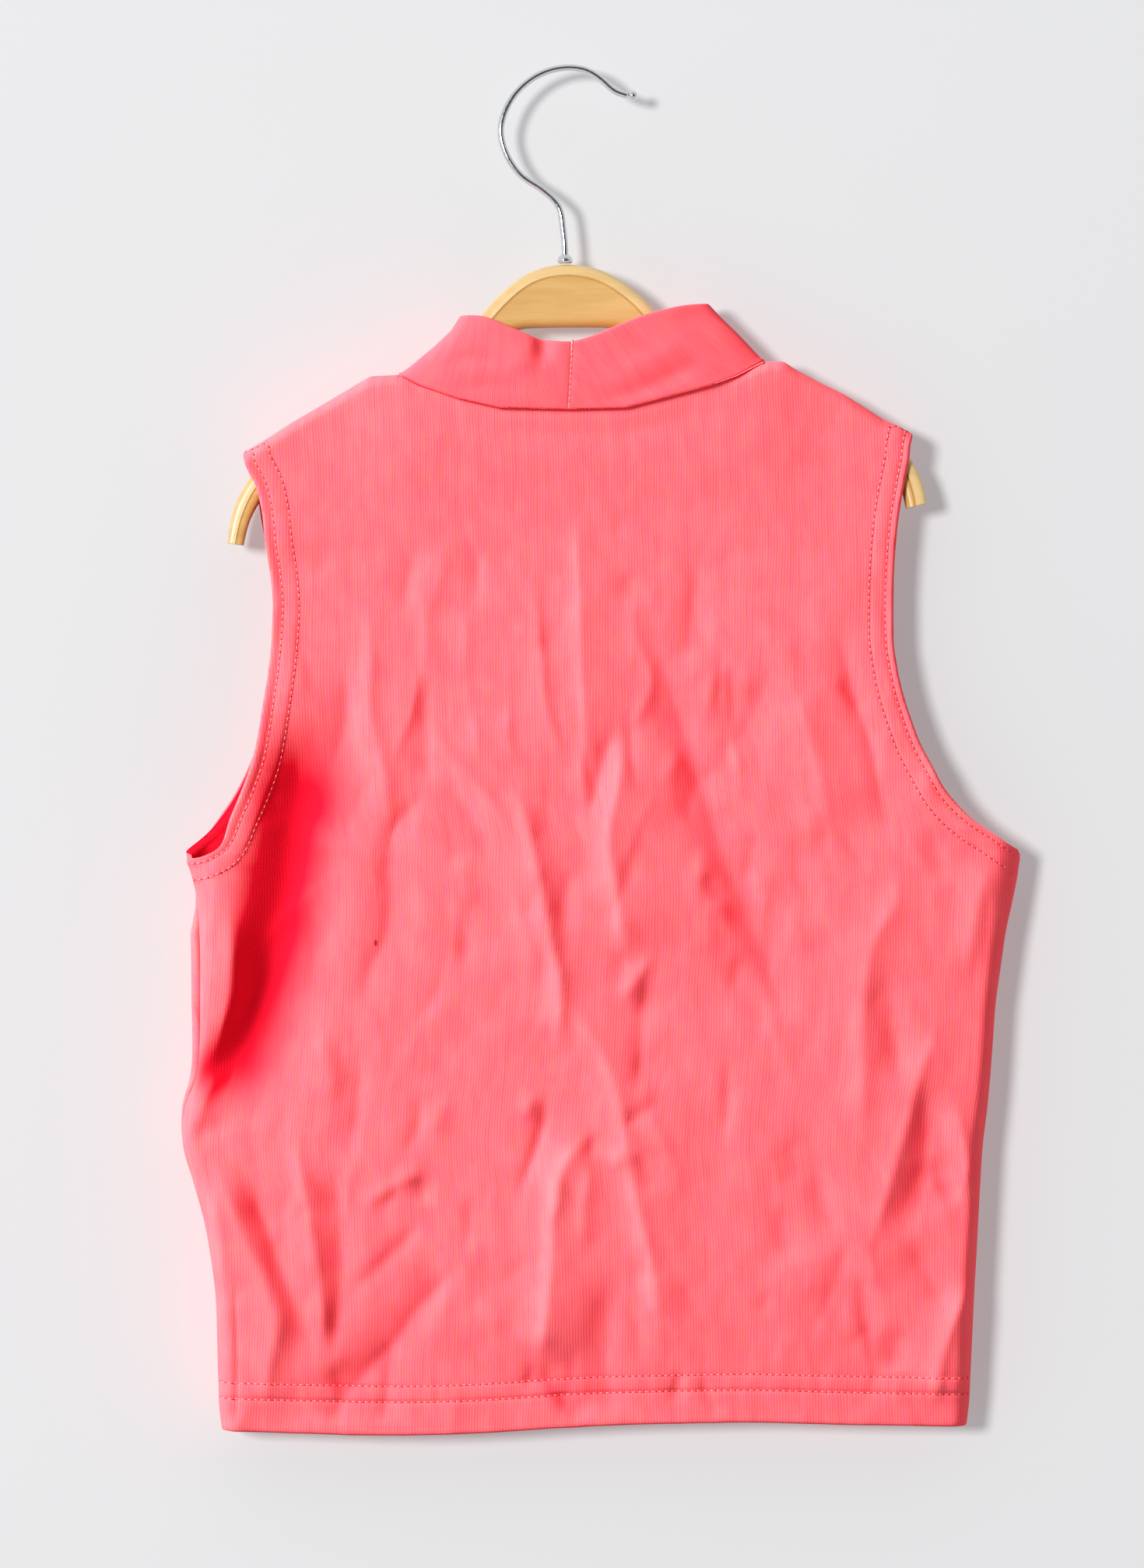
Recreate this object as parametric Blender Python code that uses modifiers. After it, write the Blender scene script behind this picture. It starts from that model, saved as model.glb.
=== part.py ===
"""Sleeveless mock-neck top, hung on a flat hanger with a wire hook.

Blender script, in metres with +Z up. The origin is the point inside the hook's bend that rests on a
rail. +X is the right-hand side seen from the garment's back, and the back faces -Y. The tables
below are in millimetres from that origin.
"""
import math
from collections import namedtuple

import bmesh
import bpy
import numpy as np

MM = 0.001

# ---- driving dimensions, in millimetres -------------------------------------------------------
CLOTH = 1.2              # one layer of jersey
TURNED_HEM = 2.4         # two layers, where an edge is turned in
COLLAR_WALL = 2.0        # the folded collar band
SEAM_GAP = 0.3           # between two pieces that are sewn together
HEM_DEPTH = 20.0         # turned hem at the bottom
ARMHOLE_HEM = 9.0        # turned hem at an armhole
HEM_STEP = 2.0           # over which a turned hem thins to one layer

HANG_DEPTH = 7.4         # outside of the cloth to the hanger's mid plane, at the shoulders
SHOULDER_DROP = 5.0      # height over which the cloth rounds over the hanger
SIDE_ROUND = 6.5         # width over which a panel rounds into its side seam
FLAT_STRIP = 1.2         # width of the flat strip beside a sewn edge
BACK_BILLOW = 5.5        # how far the loose back stands out below the hanger
FRONT_BILLOW = 6.5       # how far the loose front stands out below the hanger
LEAST_DEPTH_BACK = 1.6   # the deepest fold in the back stays this far from the mid plane
LEAST_DEPTH_FRONT = 7.6  # and in the front

COLLAR_DEPTH = 10.4      # outside of the collar to the mid plane
COLLAR_SQUARENESS = 4.0  # exponent of the collar's flattened oval
COLLAR_ROWS = 5          # rows of faces up the collar
NECK_COLUMNS = 16        # columns of faces across each half of the collar, and of the neckline
COLLAR_CLEARANCE = 1.8   # widens the seam's gap where the neckline is steep
COLLAR_UPRIGHT = 0.8     # height beside its lower seam where the collar goes straight up

BOARD_THICK = 9.0        # hanger board
BOARD_EDGE = 3.8         # radius of its rounded edges
GROOVE_INSET = 4.8       # engraved line, from the board's upper edge
GROOVE_WIDTH = 0.9
GROOVE_DEPTH = 0.8

WIRE_RADIUS = 1.35
WIRE_STEP = 4.5          # spacing of the points along the hook
TIP_RADIUS = 1.95
FERRULE_RADIUS = 3.1
FERRULE_HEIGHT = 3.4
FERRULE_SIDES = 20

# ---- outline tables, in millimetres -----------------------------------------------------------
# Heights at which both panels are measured, from the hem to the shoulder tips. seam is 1 where the
# edge is sewn to the other panel and 0 along the open armhole.
Level = namedtuple("Level", "left_x left_z right_x right_z seam")
LEVELS = [Level(*row) for row in (
    (-137.7, -543.3, 160.4, -541.6, 1.0),
    (-138.7, -533.5, 161.4, -532.0, 1.0),
    (-139.0, -523.3, 161.9, -521.6, 1.0),
    (-139.1, -521.3, 162.0, -519.6, 1.0),
    (-139.5, -506.0, 162.7, -505.0, 1.0),
    (-140.1, -490.0, 163.4, -489.5, 1.0),
    (-142.0, -474.5, 164.3, -474.0, 1.0),
    (-144.9, -459.0, 165.1, -459.0, 1.0),
    (-149.2, -443.5, 165.9, -444.0, 1.0),
    (-153.2, -429.0, 166.9, -429.0, 1.0),
    (-152.4, -415.0, 168.6, -415.0, 1.0),
    (-147.6, -401.5, 169.9, -401.5, 1.0),
    (-146.3, -388.0, 170.9, -388.0, 1.0),
    (-146.1, -374.0, 172.0, -373.0, 1.0),
    (-146.1, -359.0, 174.0, -358.5, 1.0),
    (-146.4, -345.0, 176.1, -344.0, 1.0),
    (-147.6, -331.0, 178.9, -331.0, 1.0),
    (-150.2, -320.0, 181.1, -319.0, 1.0),
    (-151.7, -315.0, 181.6, -312.5, 1.0),
    (-146.6, -314.4, 176.6, -309.0, 0.7),
    (-141.2, -312.3, 171.3, -305.3, 0.4),
    (-136.4, -308.8, 161.9, -299.2, 0.2),
    (-131.2, -297.5, 151.7, -289.3, 0.0),
    (-126.4, -286.0, 145.3, -278.4, 0.0),
    (-122.8, -275.5, 140.2, -268.5, 0.0),
    (-120.5, -264.0, 136.6, -258.5, 0.0),
    (-118.6, -251.5, 133.4, -248.0, 0.0),
    (-116.8, -239.3, 131.2, -237.5, 0.0),
    (-115.6, -226.8, 129.8, -226.5, 0.0),
    (-115.0, -214.3, 129.7, -214.0, 0.0),
    (-115.9, -201.9, 130.0, -201.5, 0.0),
    (-117.9, -189.4, 130.8, -189.0, 0.0),
    (-119.2, -176.9, 132.2, -176.5, 0.0),
    (-122.1, -164.8, 134.5, -163.5, 0.0),
    (-125.5, -158.3, 136.2, -154.5, 0.0),
    (-127.1, -152.0, 137.7, -144.5, 0.0),
)]
UNDERARM = 18            # row of LEVELS at the underarm corners

# How far the front panel's armhole edges stand outside (+) or inside (-) the back panel's.
FrontEdge = namedtuple("FrontEdge", "z left_out right_out")
FRONT_EDGES = [FrontEdge(*row) for row in (
    (-315.0, 0.0, 0.0),
    (-303.0, 5.5, -2.0),
    (-289.0, 3.2, -4.5),
    (-275.0, 0.4, -6.0),
    (-250.0, -3.0, -6.5),
    (-215.0, -3.0, -5.0),
    (-185.0, 0.6, -3.0),
    (-168.0, 1.2, -1.0),
    (-150.0, 0.0, 0.0),
)]

# Where the left side seam lies behind the outline, the front wraps round the side to meet it.
SideWrap = namedtuple("SideWrap", "z seam_y front_out")
SIDE_WRAP = [SideWrap(*row) for row in (
    (-430.0, 0.0, 0.0),
    (-402.0, -2.0, 3.2),
    (-374.0, -2.6, 4.2),
    (-345.0, -2.4, 4.4),
    (-328.0, 0.0, 0.0),
)]

# The upper edge of the panels: shoulder seams, and the neckline between the two neck points.
TopPoint = namedtuple("TopPoint", "x back_z front_z")
TOP_EDGE = [TopPoint(*row) for row in (
    (-127.1, -152.0, -152.0),
    (-123.0, -149.2, -149.2),
    (-110.6, -141.1, -141.1),
    (-96.3, -132.7, -132.7),
    (-78.2, -122.0, -122.0),
    (-66.8, -121.4, -121.4),
    (-58.3, -126.0, -138.0),
    (-43.8, -131.2, -157.0),
    (-26.4, -135.2, -171.0),
    (0.9, -135.8, -178.5),
    (23.5, -135.2, -173.0),
    (41.6, -130.5, -160.0),
    (58.2, -126.0, -143.0),
    (68.1, -122.4, -131.0),
    (79.5, -116.2, -116.2),
    (87.0, -116.0, -116.0),
    (92.4, -119.5, -119.5),
    (101.6, -124.5, -124.5),
    (110.9, -129.0, -129.0),
    (119.9, -134.6, -134.6),
    (127.3, -139.4, -139.4),
    (132.7, -141.6, -141.6),
    (137.7, -144.5, -144.5),
)]
NECK_LEFT = -66.8
NECK_RIGHT = 79.5

HemPoint = namedtuple("HemPoint", "x back_z front_z")
HEM_EDGE = [HemPoint(*row) for row in (
    (-137.7, -543.3, -543.3),
    (-104.4, -544.2, -543.4),
    (-72.1, -544.9, -543.6),
    (-39.9, -544.2, -543.2),
    (10.3, -541.1, -540.6),
    (47.7, -540.0, -540.2),
    (74.8, -539.7, -540.2),
    (101.6, -540.4, -541.8),
    (133.6, -541.1, -542.6),
    (160.4, -541.6, -541.6),
)]

# The collar's folded top edge, and its side outline up from each neck point.
CollarTop = namedtuple("CollarTop", "x back_z front_z")
COLLAR_TOP = [CollarTop(*row) for row in (
    (-42.6, -97.4, -97.4),
    (-33.8, -98.2, -107.0),
    (-21.1, -103.2, -123.0),
    (-6.7, -108.1, -138.0),
    (2.3, -108.4, -141.5),
    (8.4, -107.0, -141.0),
    (20.5, -102.2, -134.0),
    (32.5, -97.6, -120.0),
    (46.0, -94.2, -103.5),
    (57.5, -92.4, -92.4),
)]
CollarSide = namedtuple("CollarSide", "rise left_x left_z right_x right_z")
COLLAR_SIDES = [CollarSide(*row) for row in (
    (0.0, -66.8, -121.1, 79.5, -115.9),
    (0.2, -61.8, -117.4, 75.2, -111.4),
    (0.5, -52.8, -109.6, 68.6, -104.2),
    (0.8, -46.2, -103.2, 62.4, -97.8),
    (1.0, -42.6, -97.4, 57.5, -92.4),
)]
SEAM_BOTTOM_X = 0.9
SEAM_TOP_X = 2.3

# The hanger board: one row for each cut across it, from the left tip to the right tip.
Station = namedtuple("Station", "top_x top_z low_x low_z")
BOARD_STATIONS = [Station(*row) for row in (
    (-135.4, -188.6, -129.0, -189.6),
    (-134.1, -180.0, -127.0, -180.7),
    (-132.0, -172.1, -123.4, -173.4),
    (-128.4, -165.7, -120.2, -168.2),
    (-124.5, -159.8, -116.2, -163.2),
    (-117.4, -151.4, -110.2, -158.4),
    (-108.2, -142.0, -102.0, -152.8),
    (-96.3, -134.9, -91.0, -146.6),
    (-84.5, -128.4, -79.5, -140.2),
    (-75.5, -125.2, -68.0, -135.4),
    (-66.0, -125.4, -57.5, -131.6),
    (-57.0, -122.0, -47.5, -126.4),
    (-48.0, -115.8, -38.5, -118.8),
    (-40.4, -107.6, -30.0, -110.6),
    (-33.6, -97.2, -22.0, -104.4),
    (-26.0, -88.8, -15.5, -102.7),
    (-14.2, -80.0, -7.5, -102.5),
    (0.9, -77.0, 0.9, -102.4),
    (15.6, -79.9, 9.5, -102.4),
    (28.4, -88.2, 17.5, -102.6),
    (36.8, -96.9, 25.2, -104.4),
    (42.3, -105.4, 33.0, -109.4),
    (49.5, -113.0, 41.2, -117.0),
    (60.0, -118.4, 51.2, -123.2),
    (71.5, -121.0, 63.2, -128.6),
    (82.6, -121.0, 75.6, -132.2),
    (92.6, -122.6, 86.4, -135.4),
    (101.6, -126.8, 96.2, -139.4),
    (110.9, -131.3, 105.6, -143.6),
    (119.9, -136.9, 114.4, -148.0),
    (127.6, -142.6, 122.0, -152.4),
    (133.6, -148.6, 128.0, -156.8),
    (138.4, -155.6, 131.8, -161.6),
    (141.6, -161.6, 134.2, -166.2),
    (143.6, -167.4, 135.2, -170.4),
    (144.4, -172.6, 136.2, -174.8),
)]

# The hook's centre line, from the board up round the bend to its free end.
HookPoint = namedtuple("HookPoint", "x z")
HOOK_LINE = [HookPoint(*row) for row in (
    (-0.3, -76.6),
    (-0.3, -72.6),
    (-1.2, -62.0),
    (-2.6, -54.2),
    (-9.0, -47.6),
    (-18.1, -41.4),
    (-24.1, -32.3),
    (-26.1, -24.0),
    (-24.1, -15.2),
    (-18.8, -7.2),
    (-10.8, -1.2),
    (-0.7, 1.65),
    (8.4, 0.6),
    (14.6, -3.3),
    (19.6, -7.9),
    (24.4, -9.5),
)]
HOOK_TIP = HookPoint(26.8, -9.5)

# The largest folds. depth is how far the cloth sinks (+) or stands out (-), width the distance over
# which it fades, skew tilts it to one side, and fade the share of its length over which each end dies.
Fold = namedtuple("Fold", "depth width skew fade path")
BACK_FOLDS = [Fold(*row) for row in (
    (8.5, 10.0, 0.0, 0.30, ((-106, -246), (-112, -282), (-116, -326), (-123, -371), (-141, -405), (-147, -428))),
    (-4.0, 8.0, 0.0, 0.40, ((-132, -330), (-136, -352), (-141, -380), (-147, -400))),
    (-3.5, 11.0, -0.4, 0.40, ((-54, -262), (-35, -282), (-20, -313), (-3, -358), (5, -396))),
    (3.5, 9.0, 0.8, 0.30, ((30, -214), (40, -247), (50, -278), (65, -326), (79, -362), (87, -386))),
    (6.0, 8.0, 0.3, 0.30, ((32, -362), (30, -405), (24, -428), (30, -450), (34, -480), (40, -520))),
    (6.0, 10.0, 0.0, 0.30, ((-5, -440), (-2, -477), (-10, -507), (-3, -530))),
    (5.0, 8.0, 0.3, 0.30, ((-94, -432), (-92, -457), (-94, -492), (-95, -520))),
    (4.5, 9.0, 0.0, 0.40, ((-130, -430), (-113, -465), (-102, -505))),
    (4.5, 9.0, 0.0, 0.30, ((131, -332), (121, -364), (121, -400), (126, -440))),
    (5.5, 8.0, 0.0, 0.35, ((142, -404), (138, -458), (122, -505))),
    (4.5, 8.0, 0.0, 0.35, ((145, -440), (152, -475), (157, -500))),
    (4.0, 9.0, 0.0, 0.35, ((171, -320), (161, -353), (156, -380))),
    (3.5, 9.0, 0.0, 0.35, ((110, -222), (114, -250), (124, -282), (131, -318))),
    (3.0, 9.0, 0.0, 0.40, ((-46, -250), (-54, -285), (-52, -320))),
)]
FRONT_FOLDS = [Fold(*row) for row in (
    (5.0, 10.0, 0.0, 0.30, ((-104, -235), (-108, -280), (-118, -330), (-128, -372))),
    (4.5, 10.0, 0.3, 0.30, ((118, -232), (112, -280), (118, -326), (134, -372))),
    (-4.0, 12.0, 0.0, 0.40, ((-58, -240), (-40, -300), (-46, -360), (-60, -410))),
    (4.5, 10.0, 0.4, 0.30, ((20, -222), (12, -282), (24, -344), (14, -402))),
    (5.0, 10.0, 0.0, 0.30, ((-74, -398), (-84, -450), (-78, -516))),
    (-4.0, 11.0, 0.3, 0.40, ((66, -300), (58, -360), (70, -420), (62, -480))),
    (4.5, 9.0, 0.0, 0.30, ((-18, -430), (-24, -476), (-14, -524))),
    (4.5, 10.0, 0.0, 0.30, ((98, -402), (108, -450), (102, -512))),
)]

# ---- columns of the panels --------------------------------------------------------------------
# Distances in from an edge: the sewn strip, the rounded side, then the armhole's turned hem.
EDGE_COLUMNS = (0.0, 0.0, 0.8, 2.6, SIDE_ROUND, ARMHOLE_HEM, ARMHOLE_HEM + HEM_STEP)
# Where the columns stand along the shoulder seams; those along the neckline come between them.
LEFT_SHOULDER_COLUMNS = (-104.0, -93.0, -82.0, -73.0)
RIGHT_SHOULDER_COLUMNS = (85.5, 93.0, 101.5, 110.0, 118.0)
# The rows that round over the shoulder, from the lowest to the sewn edge: angle of the turn in
# degrees, and the drop below the neckline where the cloth goes straight up instead.
TopRow = namedtuple("TopRow", "turn neck_drop")
TOP_ROWS = [TopRow(*row) for row in ((90.0, 5.0), (62.0, 3.4), (32.0, 1.9), (0.0, 0.8), (0.0, 0.0))]


def smooth(values, places):
    """A smooth curve (Catmull-Rom) through values, read at fractional row numbers."""
    values = np.asarray(values, dtype=float)
    last = len(values) - 1
    places = np.clip(places, 0, last)
    first = np.minimum(np.floor(places).astype(int), last - 1)
    t = places - first
    before = values[np.maximum(first - 1, 0)]
    start = values[first]
    end = values[first + 1]
    after = values[np.minimum(first + 2, last)]
    return 0.5 * (2 * start + (end - before) * t + (2 * before - 5 * start + 4 * end - after) * t ** 2
                  + (3 * start - before - 3 * end + after) * t ** 3)


def column(table, name):
    """One named column of a table as an array."""
    return np.array([getattr(row, name) for row in table], dtype=float)


def ease(value):
    """0 to 1 with no corner at either end."""
    value = np.clip(value, 0.0, 1.0)
    return value * value * (3.0 - 2.0 * value)


def smooth_path(points, step):
    """Points about step apart on a smooth curve through the given ones."""
    points = np.asarray(points, dtype=float)
    lengths = np.hypot(*np.diff(points, axis=0).T)
    places = [0.0]
    for index, length in enumerate(lengths):
        parts = max(1, round(length / step))
        places += [index + (part + 1) / parts for part in range(parts)]
    places = np.array(places)
    return np.stack([smooth(points[:, 0], places), smooth(points[:, 1], places)], axis=1)


def fold_relief(x, z, folds):
    """How far the folds push the cloth inwards at each point of a panel."""
    relief = np.zeros_like(x)
    for fold in folds:
        path = smooth_path(fold.path, 6.0)
        nearest = np.full(x.shape, np.inf)
        along = np.zeros_like(x)
        side = np.zeros_like(x)
        segments = len(path) - 1
        for index in range(segments):
            start_x, start_z = path[index]
            run_x, run_z = path[index + 1] - path[index]
            length = math.hypot(run_x, run_z)
            off_x = x - start_x
            off_z = z - start_z
            share = np.clip((off_x * run_x + off_z * run_z) / length ** 2, 0.0, 1.0)
            distance = np.hypot(off_x - share * run_x, off_z - share * run_z)
            closer = distance < nearest
            nearest = np.where(closer, distance, nearest)
            along = np.where(closer, (index + share) / segments, along)
            side = np.where(closer, (off_z * run_x - off_x * run_z) / length, side)
        reach = nearest / fold.width
        ends = ease(along / fold.fade) * ease((1.0 - along) / fold.fade)
        lean = 1.0 + fold.skew * np.clip(side / fold.width, -1.5, 1.5)
        relief += fold.depth * ends * lean * np.exp(-reach ** 2)
    return relief


def neck_shares():
    """Where the columns stand across the neck, closer together towards its ends."""
    return [(1.0 - math.cos(math.pi * index / NECK_COLUMNS)) / 2.0 for index in range(NECK_COLUMNS + 1)]


def collar_depth(x, left_x, right_x):
    """Half depth of the collar's flattened oval at x, from its sides at left_x and right_x."""
    middle = (left_x + right_x) / 2.0
    half = (right_x - left_x) / 2.0
    share = np.clip(np.abs(x - middle) / half, 0.0, 1.0)
    return COLLAR_DEPTH * (1.0 - share ** COLLAR_SQUARENESS) ** (1.0 / COLLAR_SQUARENESS)


def edge_x(levels_at, heights, front):
    """The two edges' x at fractional rows of LEVELS; the front has its own armhole edges."""
    left = smooth(column(LEVELS, "left_x"), levels_at)
    right = smooth(column(LEVELS, "right_x"), levels_at)
    if front:
        table_z = column(FRONT_EDGES, "z")
        left = left - np.interp(heights[0], table_z, column(FRONT_EDGES, "left_out"), left=0.0)
        right = right + np.interp(heights[1], table_z, column(FRONT_EDGES, "right_out"), left=0.0)
    return left, right


def body_depth(x, z, front):
    """Distance of a panel's outside from the hanger's mid plane, before folds."""
    loose = ease((-180.0 - z) / 150.0)
    share = (x - LEVELS[UNDERARM].left_x) / (LEVELS[UNDERARM].right_x - LEVELS[UNDERARM].left_x)
    across = np.sin(math.pi * np.clip(share, 0.0, 1.0)) ** 0.6
    billow = FRONT_BILLOW if front else BACK_BILLOW
    neck = ease((z + 190.0) / 45.0) * ease((x - NECK_LEFT) / 18.0) * ease((NECK_RIGHT - x) / 18.0)
    return HANG_DEPTH + billow * loose * (0.35 + 0.65 * across) + (COLLAR_DEPTH - HANG_DEPTH) * neck


def panel_rows(front):
    """Rows of LEVELS that the panel uses, below those that round over the shoulder."""
    last = len(LEVELS) - 1
    rows = [float(row) for row in range(last)]
    if front:
        skipped = (5, 7, 9, 12, 14, 16, 24, 26, 28, 30)
        rows = [row for row in rows if row not in skipped]
    return rows


def panel_grid(front):
    """The outside of a panel as arrays x, y, z, row by row, and its lowest row along the armholes."""
    sign = 1.0 if front else -1.0
    rows = panel_rows(front)
    turns = [math.radians(row.turn) for row in TOP_ROWS]
    last = len(LEVELS) - 1
    left_z = column(LEVELS, "left_z")
    right_z = column(LEVELS, "right_z")
    seams = column(LEVELS, "seam")
    drops = [SHOULDER_DROP * (1.0 - math.cos(turn)) for turn in turns]

    places = np.array(rows + [last - drop / 7.0 for drop in drops])
    low_z = (smooth(left_z, places), smooth(right_z, places))
    left_x, right_x = edge_x(places, low_z, front)
    seam = np.interp(places, np.arange(last + 1), seams)

    neck_columns = [NECK_LEFT + share * (NECK_RIGHT - NECK_LEFT) for share in neck_shares()]
    inner = [*LEFT_SHOULDER_COLUMNS, *neck_columns, *RIGHT_SHOULDER_COLUMNS]
    reach = EDGE_COLUMNS[-1]
    top_left = LEVELS[last].left_x
    top_right = LEVELS[last].right_x
    shares = [(x - top_left - reach) / (top_right - top_left - 2 * reach) for x in inner]

    def across(left, right):
        """x of every column in one row."""
        span = right - left - 2 * reach
        near = [left + step for step in EDGE_COLUMNS]
        middle = [left + reach + share * span for share in shares]
        far = [right - step for step in reversed(EDGE_COLUMNS)]
        return np.array(near + middle + far)

    x = np.array([across(left, right) for left, right in zip(left_x, right_x)])
    share = (x - left_x[:, None]) / (right_x - left_x)[:, None]
    straight = low_z[0][:, None] + (low_z[1] - low_z[0])[:, None] * share
    height = ((low_z[0] - left_z[0]) / (left_z[last] - left_z[0]))[:, None]

    name = "front_z" if front else "back_z"
    top_x = across(top_left, top_right)
    top_share = (top_x - top_left) / (top_right - top_left)
    top_z = np.interp(top_x, column(TOP_EDGE, "x"), column(TOP_EDGE, name))
    top_bow = top_z - (left_z[last] + (right_z[last] - left_z[last]) * top_share)
    hem_x = x[0]
    hem_share = (hem_x - left_x[0]) / (right_x[0] - left_x[0])
    hem_z = np.interp(hem_x, column(HEM_EDGE, "x"), column(HEM_EDGE, name))
    hem_bow = hem_z - (left_z[0] + (right_z[0] - left_z[0]) * hem_share)
    z = straight + height * top_bow[None, :] + (1.0 - height) * hem_bow[None, :]
    neck = (top_x > NECK_LEFT + SEAM_GAP) & (top_x < NECK_RIGHT - SEAM_GAP)
    for index, drop in enumerate(drops):
        z[len(rows) + index] = top_z - np.where(neck, TOP_ROWS[index].neck_drop, drop)

    folds = FRONT_FOLDS if front else BACK_FOLDS
    least = LEAST_DEPTH_FRONT if front else LEAST_DEPTH_BACK
    depth = body_depth(x, z, front) - fold_relief(x, z, folds)
    least = least + (HANG_DEPTH - least) * ease((z + 215.0) / 30.0)
    depth = np.maximum(depth, least)

    # The sides round into the side seam, and stay open along the armholes.
    seam_y = np.interp(z[:, 0], column(SIDE_WRAP, "z"), column(SIDE_WRAP, "seam_y"), left=0, right=0)
    wrap_out = np.interp(z[:, 0], column(SIDE_WRAP, "z"), column(SIDE_WRAP, "front_out"), left=0, right=0)
    y = sign * depth
    strip = SEAM_GAP / 2.0 + FLAT_STRIP
    for index, step in enumerate(EDGE_COLUMNS[:5]):
        turned = math.sqrt(max(0.0, 1.0 - (1.0 - step / SIDE_ROUND) ** 2))
        closed = SEAM_GAP / 2.0 if index == 0 else strip + (depth[:, index] - strip) * turned
        left_y = seam_y * (1.0 - turned) + sign * closed
        y[:, index] = seam * left_y + (1.0 - seam) * y[:, index]
        other = x.shape[1] - 1 - index
        closed = SEAM_GAP / 2.0 if index == 0 else strip + (depth[:, other] - strip) * turned
        y[:, other] = seam * sign * closed + (1.0 - seam) * y[:, other]
        if front:
            x[:, index] -= wrap_out * math.sin(math.pi * min(1.0, turned + 0.25 * (index > 0)))

    # The top rounds over the hanger into the shoulder seam, or meets the collar's lower edge.
    neck_y = np.where(neck, collar_depth(top_x, NECK_LEFT, NECK_RIGHT), 0.0)
    for index, turn in enumerate(turns):
        row = len(rows) + index
        start = np.maximum(neck_y, SEAM_GAP / 2.0 if index == len(turns) - 1 else strip)
        turned = start + (np.maximum(depth[row], start) - start) * math.sin(turn)
        y[row] = sign * turned
    return x, y, z, int(np.argmax(seam < 1.0))


def point_distance(x, z, line):
    """Distance of each grid point from a polyline in the XZ plane."""
    best = np.full(x.shape, np.inf)
    for (start_x, start_z), (end_x, end_z) in zip(line[:-1], line[1:]):
        run_x = end_x - start_x
        run_z = end_z - start_z
        length = math.hypot(run_x, run_z)
        if length == 0.0:
            continue
        share = np.clip(((x - start_x) * run_x + (z - start_z) * run_z) / length ** 2, 0.0, 1.0)
        best = np.minimum(best, np.hypot(x - start_x - share * run_x, z - start_z - share * run_z))
    return best


def panel_thickness(x, z, underarm):
    """One layer of cloth, and two where the hem and the armholes are turned in."""
    hem = ease(1.0 - (z - z[0][None, :] - HEM_DEPTH) / HEM_STEP)
    left_edge = list(zip(x[underarm:, 0], z[underarm:, 0]))
    right_edge = list(zip(x[underarm:, -1], z[underarm:, -1]))
    near = np.minimum(point_distance(x, z, left_edge), point_distance(x, z, right_edge))
    armhole = ease(1.0 - (near - ARMHOLE_HEM) / HEM_STEP)
    return CLOTH + (TURNED_HEM - CLOTH) * np.maximum(hem, armhole)


# ---- Blender helpers --------------------------------------------------------------------------
def clear_scene():
    for item in list(bpy.data.objects):
        bpy.data.objects.remove(item, do_unlink=True)


def make_material(name, color, roughness, metallic):
    material = bpy.data.materials.new(name)
    material.use_nodes = True
    shader = material.node_tree.nodes["Principled BSDF"]
    shader.inputs["Base Color"].default_value = (*color, 1.0)
    shader.inputs["Roughness"].default_value = roughness
    shader.inputs["Metallic"].default_value = metallic
    return material


def add_object(name, data, material, collection, parent):
    item = bpy.data.objects.new(name, data)
    item.data.materials.append(material)
    item.parent = parent
    collection.objects.link(item)
    return item


def grid_mesh(name, points, flip, closed=False):
    """A sheet of quads through a grid of points, in millimetres."""
    mesh = bpy.data.meshes.new(name)
    sheet = bmesh.new()
    rows = [[sheet.verts.new([value * MM for value in point]) for point in row] for row in points]
    for lower, upper in zip(rows[:-1], rows[1:]):
        count = len(lower)
        for index in range(count if closed else count - 1):
            after = (index + 1) % count
            corners = [lower[index], lower[after], upper[after], upper[index]]
            sheet.faces.new(reversed(corners) if flip else corners)
    sheet.to_mesh(mesh)
    sheet.free()
    mesh.shade_smooth()
    return mesh


def make_panel(name, front, material, collection, parent):
    """A body panel: an open sheet with thickness added inwards, doubled at the turned hems."""
    x, y, z, underarm = panel_grid(front)
    mesh = grid_mesh(name, np.stack([x, y, z], axis=2).tolist(), flip=front)
    panel = add_object(name, mesh, material, collection, parent)
    weights = panel.vertex_groups.new(name="thickness")
    for index, wall in enumerate(panel_thickness(x, z, underarm).ravel()):
        weights.add([index], wall / TURNED_HEM, "REPLACE")
    shell = panel.modifiers.new("cloth", "SOLIDIFY")
    shell.thickness = TURNED_HEM * MM
    shell.offset = -1.0
    shell.vertex_group = "thickness"
    return panel


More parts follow.
